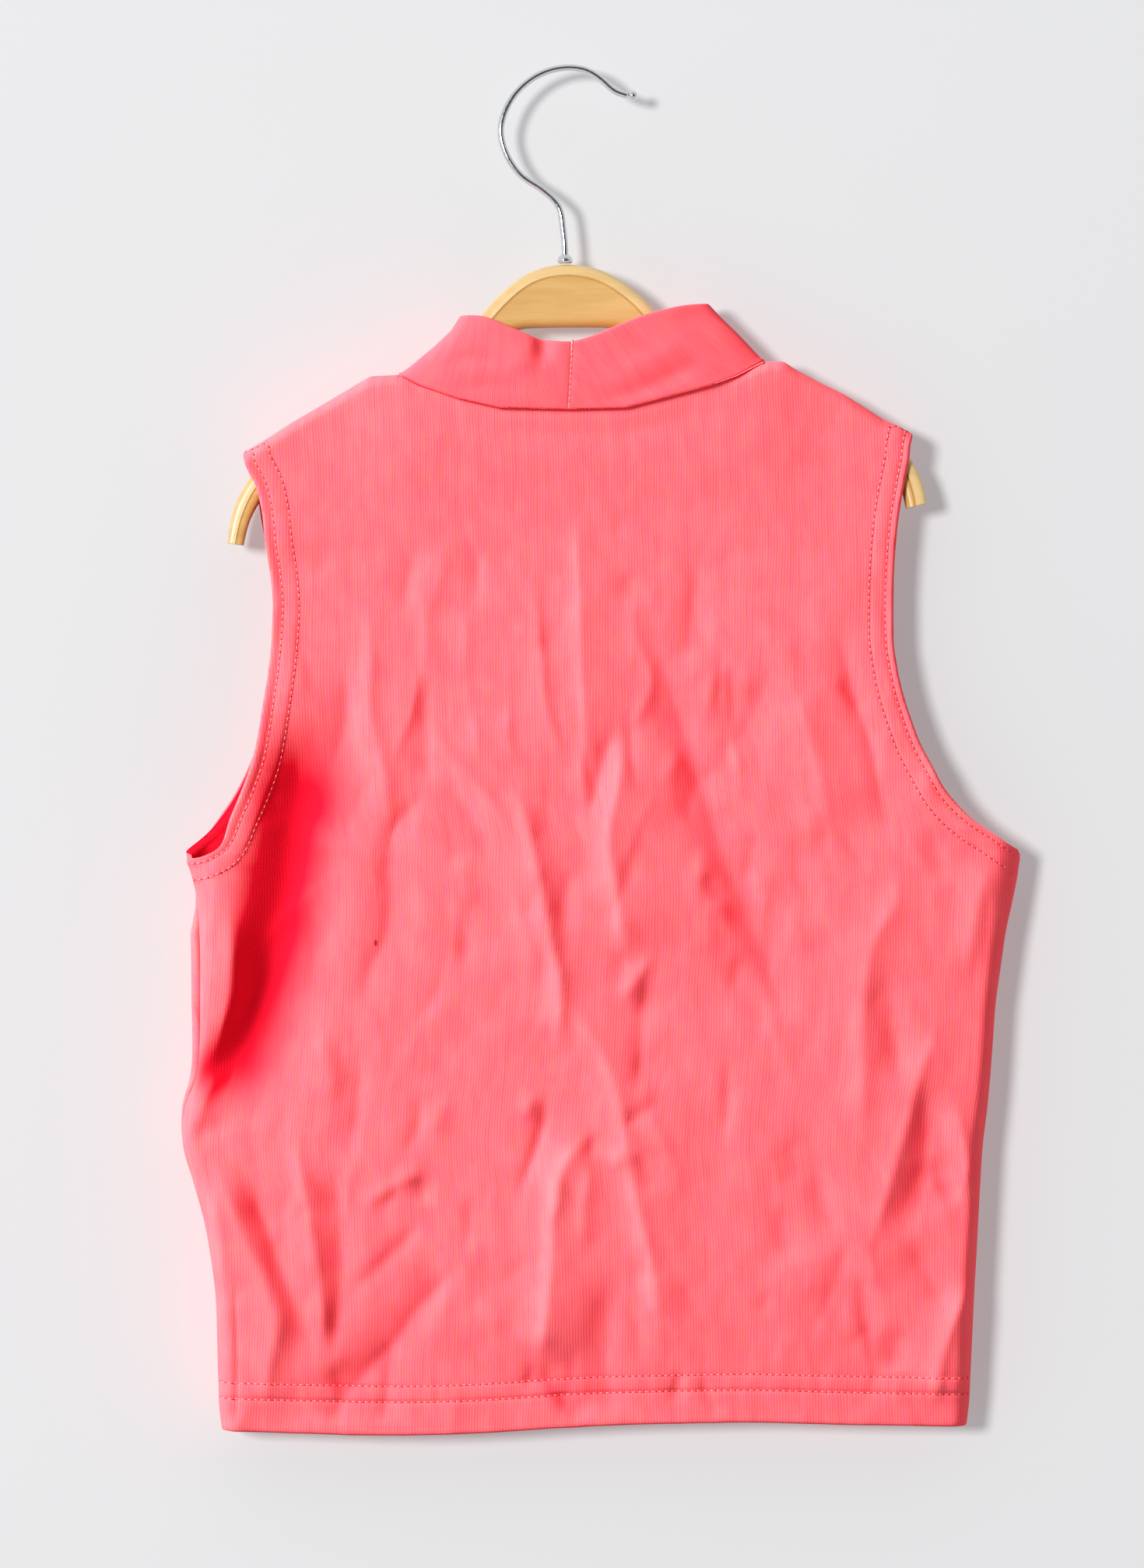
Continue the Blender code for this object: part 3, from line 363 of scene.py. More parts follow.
BACK_FOLDS = [crease(*row) for row in (
    # the deep trough from the left armhole to the waist, and the ridge at its left
    (8.4, 14, 18, 1.9, 0.28, 0.16, -101, -242, -103, -277, -107, -308, -113, -339, -122, -370, -132, -398,
     -142, -423),
    (-3.9, 6, 7, 1.6, 0.35, 0.35, -138, -330, -133, -350, -133, -367, -137, -384, -144, -401),
    (1.8, 5, 5, 1.6, 0.4, 0.4, -152, -427, -142, -422, -131, -419),
    # the pressed line down the centre
    (-2, 4, 9, 1, 0.2, 0.2, 4, -171, 5, -205, 6, -236, 7, -258, 7, -283, 9, -303),
    # shoulder blade, left
    (0.8, 4, 4, 1.5, 0.4, 0.4, -99, -186, -95, -203),
    (1, 4, 3, 1.3, 0.35, 0.35, -43, -171, -40, -186, -35, -196, -35, -217),
    (0.9, 4, 4, 1.5, 0.4, 0.4, -58, -186, -63, -205, -65, -221),
    (-0.9, 5, 5, 1.3, 0.4, 0.4, -48, -189, -52, -208, -55, -222),
    (-1, 4, 5, 1.2, 0.4, 0.4, -40, -214, -40, -233, -40, -245),
    (-2.1, 5, 5, 1, 0.25, 0.3, -80, -213, -78, -236, -78, -252, -72, -283, -70, -308),
    (1.4, 5, 4, 1.3, 0.35, 0.35, -89, -236, -88, -258, -91, -272, -97, -280),
    (-1.3, 5, 5, 1, 0.3, 0.3, -58, -236, -62, -258, -71, -278),
    (1.5, 5, 5, 1, 0.3, 0.2, -56, -238, -56, -264, -54, -287),
    (1.8, 6, 5, 1, 0.15, 0.3, -53, -287, -64, -297, -70, -308, -70, -326, -71, -345, -78, -358, -80, -378,
     -84, -386),
    # the broad bright band that runs down to the middle
    (1.5, 7, 5, 1.3, 0.35, 0.35, -50, -269, -40, -295, -33, -309, -25, -325),
    (-2.4, 6, 4, 1, 0.3, 0.3, -56, -259, -43, -278, -32, -290, -23, -302, -20, -310),
    (-3.4, 7, 5, 1, 0.2, 0.2, -22, -283, -17, -295, -13, -311, -9, -330, -5, -351, -2, -364, -2, -383, -7,
     -394),
    (-1.4, 4, 2.5, 1, 0.3, 0.3, -12, -203, -11, -221, -9, -239, -8, -252, -4, -267, 2, -283),
    (-1, 3, 4, 1, 0.4, 0.4, -37, -255, -35, -270, -34, -280),
    (1.4, 4, 3, 1.3, 0.4, 0.4, 2, -317, 0, -333, 0, -345),
    (1, 3, 3, 1.3, 0.4, 0.4, -44, -334, -40, -348, -40, -361),
    # middle: the bright wedge, and the dark flank to its right
    (2.4, 6, 5, 1, 0.3, 0.25, 20, -260, 14, -280, 9, -302),
    (-3.8, 5, 15, 1, 0.25, 0.2, 23, -260, 21, -283, 17, -306, 19, -323, 22, -342, 25, -358),
    (1.2, 2.2, 3, 1.2, 0.3, 0.35, 25, -254, 26, -270, 28, -283, 31, -290),
    (3.4, 15, 7, 1, 0.25, 0.2, 31, -219, 38, -236, 45, -258, 52, -280, 57, -295, 63, -314, 73, -339, 80,
     -358, 85, -374, 86, -386),
    (-1, 4, 4, 1.2, 0.4, 0.4, 48, -270, 42, -278, 37, -288),
    (-1.2, 4, 5, 1.2, 0.4, 0.4, 55, -308, 53, -323, 52, -342),
    (1.2, 5, 5, 1.5, 0.4, 0.4, 53, -189, 50, -221, 48, -249),
    (1.2, 3, 3, 1.3, 0.4, 0.4, 65, -235, 67, -252, 65, -267),
    (-1, 4, 3, 1.3, 0.4, 0.4, 60, -235, 57, -252, 55, -261),
    (1.7, 8, 6, 1.2, 0.35, 0.35, 84, -235, 77, -252, 69, -267, 63, -278),
    (-1.8, 8, 8, 1.2, 0.35, 0.35, 87, -236, 96, -261, 102, -286, 107, -311),
    (2.5, 8, 4, 1, 0.25, 0.3, 107, -221, 110, -230, 114, -245, 117, -256, 122, -270, 125, -286, 129, -302,
     132, -312),
    (1, 3, 3, 1.3, 0.4, 0.4, 109, -300, 116, -314, 123, -323),
    (1, 3, 3, 1.5, 0.4, 0.4, 23, -175, 21, -189),
    (0.9, 4, 4, 1.5, 0.4, 0.4, 24, -200, 26, -217),
    # right side, under the arm
    (-2.6, 9, 10, 1, 0.2, 0.25, 129, -316, 131, -331, 123, -347, 119, -367, 118, -392, 118, -417, 120,
     -436),
    (1.6, 6, 5, 1, 0.3, 0.3, 127, -353, 130, -376, 132, -395, 132, -408),
    (-2.2, 6, 5, 1, 0.25, 0.25, 150, -372, 145, -390, 140, -404, 136, -420, 132, -434, 128, -448, 122, -466,
     118, -474),
    (1.8, 7, 8, 1.1, 0.25, 0.3, 143, -401, 144, -420, 143, -436, 140, -451, 137, -467),
    (2, 6, 5, 1.2, 0.35, 0.35, 147, -432, 151, -445, 156, -454),
    (-1.8, 5, 4, 1.2, 0.35, 0.35, 152, -405, 157, -420, 160, -439, 156, -454),
    (-2.4, 8, 6, 1.1, 0.3, 0.3, 170, -313, 165, -330, 162, -345, 160, -364),
    (2.4, 8, 5, 1.2, 0.35, 0.35, 136, -465, 145, -482, 154, -498),
    (-3, 7, 9, 1, 0.25, 0.2, 161, -482, 155, -498, 150, -513, 147, -534),
    (1.4, 5, 5, 1.5, 0.35, 0.3, 132, -501, 131, -520),
    # waist, middle
    (-1.5, 3, 3, 1.3, 0.35, 0.35, 36, -351, 29, -361, 21, -373),
    (1.6, 3.2, 9, 1.2, 0.25, 0.3, 32, -362, 31, -376, 30, -392, 29, -410),
    (1.3, 2.8, 2.8, 1.2, 0.3, 0.35, 21, -421, 29, -417, 38, -411),
    (-3.3, 5, 10, 1, 0.2, 0.2, -2, -363, 6, -379, 13, -390, 20, -407, 23, -421, 25, -436, 28, -451, 32,
     -467, 35, -482, 38, -501, 40, -517),
    (-1.5, 3, 3, 1.2, 0.35, 0.35, 22, -429, 20, -439),
    (2, 2.5, 2.5, 1.2, 0.35, 0.35, -7, -407, -9, -420, -12, -431, -16, -442, -20, -453),
    (-1.4, 4, 3, 1.2, 0.4, 0.4, -12, -407, -17, -420),
    (1.4, 3, 3, 1.3, 0.4, 0.4, 12, -424, 9, -435),
    (-4.2, 6, 14, 1, 0.2, 0.15, 13, -422, 6, -428, -2, -439, -5, -454, -6, -473, -7, -488, -9, -504, -11,
     -517),
    (-1.7, 4, 6, 1.1, 0.35, 0.35, 10, -435, 7, -453, 8, -471),
    (1.8, 10, 6, 1.5, 0.35, 0.2, 20, -473, 17, -495, 15, -517, 20, -541),
    (2.2, 4, 5, 1.3, 0.25, 0.25, -11, -515, -5, -525, 2, -532, 9, -540),
    (1.2, 2.5, 2.5, 1.3, 0.4, 0.4, 65, -395, 64, -414, 63, -431),
    (1, 2.5, 2.5, 1.3, 0.4, 0.4, 69, -352, 67, -369),
    (1.4, 6, 4, 1.1, 0.35, 0.35, 99, -432, 102, -448, 105, -459, 111, -469),
    (1, 6, 4, 1.2, 0.35, 0.35, 86, -451, 87, -467, 91, -478),
    (-1.2, 9, 9, 1.5, 0.4, 0.4, 98, -467, 101, -492),
    (0.9, 3, 3, 1.3, 0.4, 0.4, 83, -485, 76, -498),
    (1.3, 2.6, 6, 1.1, 0.2, 0.35, 117, -479, 118, -493, 121, -508, 125, -524),
    (1, 2.4, 2.4, 1.3, 0.3, 0.3, 45, -519, 43, -533),
    (1.1, 2.6, 2.6, 1.3, 0.3, 0.3, 54, -519, 57, -529, 63, -539),
    # waist and below, left
    (-1.2, 5, 5, 1.1, 0.35, 0.35, -100, -382, -95, -393, -94, -407, -97, -415),
    (1.4, 5, 3, 1.2, 0.35, 0.35, -82, -389, -83, -414, -86, -437),
    (1.3, 3, 3, 1.2, 0.35, 0.35, -61, -407, -58, -417, -61, -427, -65, -436),
    (-2, 3, 3, 1.1, 0.3, 0.3, -54, -436, -64, -442, -74, -448, -83, -455),
    (1.7, 3.2, 3.2, 1.2, 0.3, 0.3, -55, -457, -64, -467, -73, -476, -86, -488),
    (1.5, 4, 3, 1.2, 0.35, 0.35, -57, -441, -57, -453),
    (3, 9, 5, 1, 0.25, 0.2, -40, -472, -50, -485, -60, -496, -69, -509, -80, -520, -91, -533),
    (1.4, 5, 4, 1.2, 0.35, 0.2, -70, -505, -71, -523, -73, -542),
    (2.2, 9, 6, 1, 0.25, 0.2, -131, -432, -122, -453, -117, -467, -110, -485, -102, -507, -97, -519),
    (-2.5, 6, 4, 1, 0.25, 0.2, -109, -419, -105, -442, -101, -464, -98, -485, -96, -506, -94, -515),
    (2.1, 6.5, 3.8, 1.1, 0.25, 0.15, -93, -433, -90, -454, -89, -473, -90, -492, -93, -514),
    (1.2, 2, 2, 1.3, 0.4, 0.4, -101, -453, -107, -458),
    (-3, 9, 7, 1.1, 0.25, 0.25, -143, -430, -133, -453, -126, -470, -118, -487, -115, -498, -118, -517,
     -121, -542),
    (1.8, 5, 6, 1.3, 0.3, 0.2, -94, -514, -89, -528, -94, -542),
    (-1.4, 6, 6, 1.4, 0.35, 0.35, -140, -439, -138, -467, -136, -488),
    (1, 1.5, 1.5, 1.4, 0.3, 0.1, -132, -482, -131, -513, -132, -542),
    (1.2, 3, 3, 1.3, 0.4, 0.4, -12, -515, -16, -527),
)]
FRONT_FOLDS = [crease(*row) for row in (
    (2.5, 9, 10, 1.2, 0.3, 0.3, -104, -235, -108, -280, -118, -330, -128, -372),
    (2.2, 10, 8, 1.2, 0.3, 0.3, 118, -232, 112, -280, 118, -326, 134, -372),
    (-2, 12, 10, 1.2, 0.4, 0.4, -58, -240, -40, -300, -46, -360, -60, -410),
    (2.2, 8, 10, 1.2, 0.3, 0.3, 20, -222, 12, -282, 24, -344, 14, -402),
    (2.5, 7, 10, 1.2, 0.3, 0.3, -74, -398, -84, -450, -78, -516),
    (-2, 10, 12, 1.2, 0.4, 0.4, 66, -300, 58, -360, 70, -420, 62, -480),
    (2.2, 8, 9, 1.2, 0.3, 0.25, -18, -430, -24, -476, -14, -524),
    (2.2, 9, 10, 1.2, 0.3, 0.25, 98, -402, 108, -450, 102, -512),
    (1.2, 3, 3.5, 1.5, 0.35, 0.35, -86, -214, -80, -246, -84, -272),
    (1.4, 3, 4, 1.5, 0.35, 0.35, 60, -226, 68, -262, 80, -300),
    (-1.3, 4, 4, 2, 0.4, 0.4, 36, -236, 30, -274, 38, -300),
    (1.3, 3, 3, 1.5, 0.4, 0.4, -66, -306, -58, -330, -38, -350),
    (1.5, 3, 4, 1.6, 0.35, 0.35, -20, -330, -4, -366, 0, -400),
    (1.6, 3, 3, 1.5, 0.35, 0.35, 44, -392, 56, -404, 82, -410),
    (1.8, 3, 4, 1.6, 0.35, 0.35, 92, -336, 100, -372, 90, -396),
    (1.4, 3, 3, 1.5, 0.35, 0.35, -104, -398, -96, -424, -108, -452),
    (1.5, 3, 4, 1.6, 0.35, 0.3, 34, -448, 40, -486, 30, -522),
    (-1.6, 4, 4, 2, 0.4, 0.4, -52, -440, -46, -474, -54, -508),
    (1.4, 3, 3, 1.6, 0.35, 0.3, -112, -470, -116, -502, -108, -526),
    (2, 4, 5, 1.8, 0.35, 0.35, 140, -352, 132, -386, 142, -420),
    (1.6, 4, 5, 1.8, 0.35, 0.3, 146, -440, 138, -480, 144, -516),
    (0.9, 3, 3, 2, 0.4, 0.2, 74, -506, 78, -538),
    (0.9, 3, 3, 2, 0.4, 0.2, -44, -510, -40, -541),
)]


def mirrored(folds):
    """The same kind of creases on the other side: mirrored, drawn aside and a little lower."""
    turned_over = []
    for fold in folds:
        path = [(MIRROR_X - x + MIRROR_SWAY * math.sin(z / MIRROR_WAVES[0]),
                 z - MIRROR_LOWER + MIRROR_SWAY * math.sin(x / MIRROR_WAVES[1])) for x, z in fold.path]
        depth = MIRROR_DEPTH * fold.depth
        turned_over.append(fold._replace(depth=depth, left=fold.right, right=fold.left, path=path))
    return turned_over


# On the collar: the dent left of its seam, and soft folds along the band.
COLLAR_FOLDS = [crease(*row) for row in (
    (2.4, 3.5, 4, 2, 0.1, 0.6, -9.3, -104, -9, -112, -8, -120),
    (-0.7, 5, 5, 2, 0.4, 0.4, -15.5, -107, -15, -122),
    (0.7, 3, 3, 1.7, 0.4, 0.4, -52, -118, -36, -115, -20, -119),
    (0.5, 2.5, 2.5, 1.7, 0.4, 0.4, -46, -126, -28, -126, -10, -128),
    (0.9, 3.5, 3.5, 2, 0.35, 0.35, 8, -131, 26, -129, 44, -122, 60, -114),
    (-0.6, 4, 4, 2, 0.4, 0.4, 14, -122, 34, -116, 52, -106),
    (0.5, 3, 3, 2, 0.4, 0.4, 40, -99, 54, -101, 62, -108),
)]

# ---- grids of the cloth -----------------------------------------------------------------------
ROW_STEP = 2.3           # height between rows of the panels
COLUMN_STEP = 1.35       # width between columns, at the shoulders
HEM_STEPS = (0.0, 1.2, 2.6, 4.4, 6.4, 8.4, 10.4, 11.9, 12.8, 13.3, 13.9, 14.4, 15.2, 16.6, 18.2,
             19.2, 19.7, 20.3, 20.8, 21.6, 22.8)
EDGE_STEPS = (0.0, 0.0, 0.3, 0.9, 1.6, 2.2, 2.9, 3.8, 5.0, 6.5, 7.6, 8.3, 8.8, 9.4, 10.2, 11.4, 13.0)
NECK_STEPS = (0.0, 0.2, 0.6, 1.2, 2.1, 3.3, 4.7)
TURNS = (90.0, 78.0, 66.0, 54.0, 42.0, 30.0, 18.0, 8.0, 0.0, 0.0)
TURN_SPAN = 7.0
NECK_DROP_TURNS = (0.0, 32.0, 62.0, 90.0)
NECK_DROPS = (-0.3, 1.2, 3.0, 5.0)
NECK_ROLL = 0.80         # how far the panels' neck edge stands out over the collar's lower edge
OPEN_STEP = 0.15         # width of the first column beside an open edge
EVEN_PASSES = 150        # evens out the rows beside the underarms
EVEN_LOW = -362.0        # between these heights
EVEN_HIGH = -245.0
EVEN_FADE = 32.0
EVEN_START = 9.0         # from this far in from the edge
EVEN_WIDTH = 24.0        # and fully this much further in
WALE_FOLLOW = 0.55       # how far the wales follow the folds, instead of hanging straight down
INSIDE_SHADE = 1.0       # painted shade: the inside of the cloth is as deep in colour as its deepest folds
RIM_POINTS = 3           # points that round an open edge of the cloth
RIM_INSET = 0.42         # how far an edge draws in to make room for its rounding, by its thickness
RIM_DRAW = 9.0           # and how far from the hem that drawing in reaches
RIM_START = 11.0         # an armhole's edge is rounded from this far above the underarm corner
RIM_SPAN = 14.0

CREASE_ROUND = 0.5       # rounds the sharpest creases
PATH_STEP = 4.0          # between points of a fold's path
FOLD_REACH = 3.0         # how far a fold is felt, by its width
SIDE_BLEND = 6.0         # turns a fold's left width into its right one
FLANK_LEAN = 0.16        # slope from which a flank, facing away from the key light, gets painted shade
FLANK_SPAN = 0.42        # and how much steeper it is where it is deepest
SHADE_PASSES = 2
LEAST_STEP = 0.2
GROOVE_SHADE = 0.16      # painted shade added along the grooves of the stitches
GROOVE_SHADE_SPREAD = 0.6
SUNK_SPAN = 17.0         # twice the sinking that gives a fold its darkest painted shade
CREASE_SEED = 11
FAINT_SEED = 20          # added for the faint creases
COLLAR_SEED = 5          # and for the collar
FAINT_FOLDS = 130
FAINT_X = (-128.0, 155.0)
FAINT_Z = (-525.0, -190.0)
FAINT_LENGTH = (14.0, 52.0)
FAINT_TILT = 0.38
FAINT_BEND = 0.10
FAINT_DEPTH = (0.35, 1.0)
FAINT_WIDTH = (1.8, 6.0)
FAINT_SHAPE = (1.1, 0.35, 0.35)
WAVES = 42               # small waves in the loose cloth
WAVE_SLOPE = 0.0017      # height of each, by its length
WAVE_TOP = -150.0        # they fade in from here down
WAVE_RISE = 60.0
WAVE_LENGTH = (9.0, 46.0)
WAVE_TILT = 0.45
WAVE_BEND = (0.4, 1.2)
WAVE_SWAY = 6.0
WAVE_TURNS = 6.3
WAVE_DRIFT = (60.0, 150.0)
WAVE_PATCH = (25.0, 70.0)
FULL_TURN = 2.0 * math.pi
TINY = 1e-9


def column(table, name):
    """One named column of a table as an array."""
    return np.array([getattr(row, name) for row in table], dtype=float)


def smooth(values, knots, at):
    """A smooth curve through values at knots, read at the places in at."""
    values = np.asarray(values, dtype=float)
    knots = np.asarray(knots, dtype=float)
    slopes = np.gradient(values, knots)
    steps = np.abs(np.diff(values) / np.diff(knots))
    steepest = 3.0 * np.minimum(np.append(steps, steps[-1]), np.append(steps[0], steps))
    slopes = np.clip(slopes, -steepest, steepest)
    row = np.clip(np.searchsorted(knots, at, side="right") - 1, 0, len(knots) - 2)
    gap = knots[row + 1] - knots[row]
    t = (at - knots[row]) / gap
    start = values[row] * (1 + 2 * t) * (1 - t) ** 2 + values[row + 1] * t ** 2 * (3 - 2 * t)
    return start + gap * (slopes[row] * t * (1 - t) ** 2 - slopes[row + 1] * t ** 2 * (1 - t))


def curve_through(points, knots, at):
    """The same for a line of points."""
    return np.stack([smooth(points[:, axis], knots, at) for axis in range(points.shape[1])], axis=1)


def unit(vectors):
    """Vectors of length 1."""
    return vectors / np.maximum(np.linalg.norm(vectors, axis=-1, keepdims=True), TINY)


def line_xz(x, z):
    """A line in the XZ plane."""
    return np.stack([x, z], axis=1)


def ease(value):
    """0 to 1 with no corner at either end."""
    value = np.clip(value, 0.0, 1.0)
    return value * value * (3.0 - 2.0 * value)


def path_knots(points):
    """Distance along a line of points, at each of them."""
    steps = np.linalg.norm(np.diff(np.asarray(points, dtype=float), axis=0), axis=1)
    return np.concatenate([[0.0], np.cumsum(steps)])


def smooth_path(points, step):
    """Points about step apart on a smooth curve through the given ones."""
    points = np.asarray(points, dtype=float)
    knots = path_knots(points)
    at = np.linspace(0.0, knots[-1], max(2, round(knots[-1] / step) + 1))
    return curve_through(points, knots, at)


def fold_relief(x, z, folds):
    """How far the folds push the cloth inwards at each point of a grid."""
    relief = np.zeros(x.size)
    all_x = x.ravel()
    all_z = z.ravel()
    for fold in folds:
        path = smooth_path(fold.path, PATH_STEP)
        reach = FOLD_REACH * max(fold.left, fold.right)
        low = path.min(axis=0) - reach
        high = path.max(axis=0) + reach
        near = (all_x > low[0]) & (all_x < high[0]) & (all_z > low[1]) & (all_z < high[1])
        spot = np.nonzero(near)[0]
        px = all_x[spot]
        pz = all_z[spot]
        nearest = np.full(px.shape, np.inf)
        along = np.zeros_like(px)
        side = np.zeros_like(px)
        segments = len(path) - 1
        for index in range(segments):
            run_x, run_z = path[index + 1] - path[index]
            length = math.hypot(run_x, run_z)
            off_x = px - path[index, 0]
            off_z = pz - path[index, 1]
            share = np.clip((off_x * run_x + off_z * run_z) / length ** 2, 0.0, 1.0)
            distance = np.hypot(off_x - share * run_x, off_z - share * run_z)
            closer = distance < nearest
            nearest = np.where(closer, distance, nearest)
            along = np.where(closer, (index + share) / segments, along)
            side = np.where(closer, off_z * run_x - off_x * run_z, side)
        blend = ease(0.5 + side / SIDE_BLEND)
        width = fold.left + (fold.right - fold.left) * blend
        ends = ease(along / fold.start) * ease((1.0 - along) / fold.end)
        shape = np.exp(-(np.sqrt(nearest ** 2 + CREASE_ROUND ** 2) / width) ** fold.power)
        relief[spot] += fold.depth * ends * shape
    return relief.reshape(x.shape)


def faint_folds(seed):
    """Many faint creases of all lengths between the main ones, as in any jersey that was packed flat."""
    rng = np.random.default_rng(seed)
    folds = []
    for _ in range(FAINT_FOLDS):
        x = rng.uniform(*FAINT_X)
        z = rng.uniform(*FAINT_Z)
        length = rng.uniform(*FAINT_LENGTH)
        tilt = rng.normal(0.0, FAINT_TILT)
        bend = rng.normal(0.0, FAINT_BEND) * length
        run_x = length * math.sin(tilt)
        run_z = -length * math.cos(tilt)
        path = (x, z, x + run_x / 2.0 + bend, z + run_z / 2.0, x + run_x, z + run_z)
        depth = rng.choice((-1.0, 1.0)) * rng.uniform(*FAINT_DEPTH)
        left, right = rng.uniform(*FAINT_WIDTH, 2)
        folds.append(crease(depth, left, right, *FAINT_SHAPE, *path))
    return folds


def small_waves(x, z, seed):
    """Slight unevenness all over hanging jersey: low waves that run mostly up and down."""
    rng = np.random.default_rng(seed)
    total = np.zeros_like(x)
    for _ in range(WAVES):
        length = rng.uniform(*WAVE_LENGTH)
        tilt = rng.normal(0.0, WAVE_TILT)
        phase = rng.uniform(0.0, FULL_TURN)
        bend = rng.uniform(*WAVE_BEND)
        drift = rng.uniform(*WAVE_DRIFT)
        sway = WAVE_SWAY * np.sin(z / drift * WAVE_TURNS + phase * 3.0)
        along = x * math.cos(tilt) + z * math.sin(tilt) + bend * sway
        patch = np.sin(x / rng.uniform(*WAVE_PATCH) + z / rng.uniform(*WAVE_PATCH) + phase * 5.0)
        height = WAVE_SLOPE * length * (0.5 + 0.5 * patch)
        total += height * np.sin(FULL_TURN * along / length + phase)
    return total


def collar_depth(x, left_x, right_x):
    """Half depth of the collar's flattened oval at x, from its sides at left_x and right_x."""
    middle = (left_x + right_x) / 2.0
    half = (right_x - left_x) / 2.0
    share = np.clip(np.abs(x - middle) / half, 0.0, 1.0)
    return COLLAR_DEPTH * (1.0 - share ** COLLAR_SQUARENESS) ** (1.0 / COLLAR_SQUARENESS)


def neck_columns():
    """x of the columns across the neck, closer together towards its ends."""
    last = NECK_STEPS[-1]
    count = round((NECK_RIGHT - NECK_LEFT - 2 * last) / COLUMN_STEP)
    middle = np.linspace(NECK_LEFT + last, NECK_RIGHT - last, count + 1)
    left = [NECK_LEFT + step for step in NECK_STEPS[:-1]]
    right = [NECK_RIGHT - step for step in reversed(NECK_STEPS[:-1])]
    return np.concatenate([left, middle, right])


def edge_x(knots, at, heights, front):
    """The two edges' x at each row; the front has its own armhole edges."""
    left = smooth(column(LEVELS, "left_x"), knots, at)
    right = smooth(column(LEVELS, "right_x"), knots, at)
    if front:
        own = smooth(column(FRONT_LEFT, "x"), column(FRONT_LEFT, "z"), heights[0])
        left = np.where(heights[0] > FRONT_LEFT[0].z, own, left)
        right = right + np.interp(heights[1], column(FRONT_RIGHT, "z"), column(FRONT_RIGHT, "out"), left=0.0)
    return left, right


def body_depth(x, z, front):
    """Distance of a panel's outside from the hanger's mid plane, before folds."""
    loose = ease((BILLOW_TOP - z) / BILLOW_RISE)
    share = (x - LEVELS[UNDERARM].left_x) / (LEVELS[UNDERARM].right_x - LEVELS[UNDERARM].left_x)
    across = np.sin(math.pi * np.clip(share, 0.0, 1.0)) ** BILLOW_POWER
    billow = (FRONT_BILLOW if front else BACK_BILLOW) * (BILLOW_EDGE + (1.0 - BILLOW_EDGE) * across)
    neck = ease((z - NECK_LOW) / NECK_RISE) * ease((x - NECK_LEFT + NECK_REACH) / NECK_FADE)
    neck = neck * ease((NECK_RIGHT + NECK_REACH - x) / NECK_FADE)
    tuck = HEM_TUCK * ease((HEM_TUCK_TOP - z) / HEM_TUCK_RISE)
    return HANG_DEPTH + billow * loose + (COLLAR_DEPTH - HANG_DEPTH) * neck - tuck


def line_distance(x, z, line):
    """Distance of each grid point from a polyline in the XZ plane."""
    best = np.full(x.shape, np.inf)
    for (start_x, start_z), (end_x, end_z) in zip(line[:-1], line[1:]):
        run_x = end_x - start_x
        run_z = end_z - start_z
        length = math.hypot(run_x, run_z)
        if length == 0.0:
            continue
        share = np.clip(((x - start_x) * run_x + (z - start_z) * run_z) / length ** 2, 0.0, 1.0)
        best = np.minimum(best, np.hypot(x - start_x - share * run_x, z - start_z - share * run_z))
    return best


Panel = namedtuple("Panel", "points wall hem_rise edge_near sunk rim corner")


def evened(line, passes):
    """A line of numbers or points, each drawn towards its two neighbours so many times."""
    line = line.copy()
    for _ in range(passes):
        line[1:-1] = (line[:-2] + 2.0 * line[1:-1] + line[2:]) / 4.0
    return line


def even_rows(edge_z):
    """How far rows move, away from an edge, to be evenly spaced beside the flat of an underarm."""
    moved = evened(edge_z, EVEN_PASSES) - edge_z
    return moved * ease((edge_z - EVEN_LOW) / EVEN_FADE) * ease((EVEN_HIGH - edge_z) / EVEN_FADE)


def folded_depth(x, z, flat, front):
    """Distance of a panel's outside from the mid plane with its folds, waves and faint creases."""
    folds = FRONT_FOLDS + mirrored(BACK_FOLDS[TROUGH_FOLDS:]) if front else BACK_FOLDS
    loose = ease((WAVE_TOP - z) / WAVE_RISE)
    relief = fold_relief(x, z, folds) + loose * small_waves(x, z, CREASE_SEED + front)
    relief += fold_relief(x, z, faint_folds(CREASE_SEED + FAINT_SEED + front))
    least = LEAST_DEPTH_FRONT if front else LEAST_DEPTH_BACK
    least = least + (HANG_DEPTH - least) * ease((z - LEAST_LOW) / LEAST_RISE)
    return least + np.logaddexp(0.0, (flat - relief - least) / LEAST_SOFT) * LEAST_SOFT


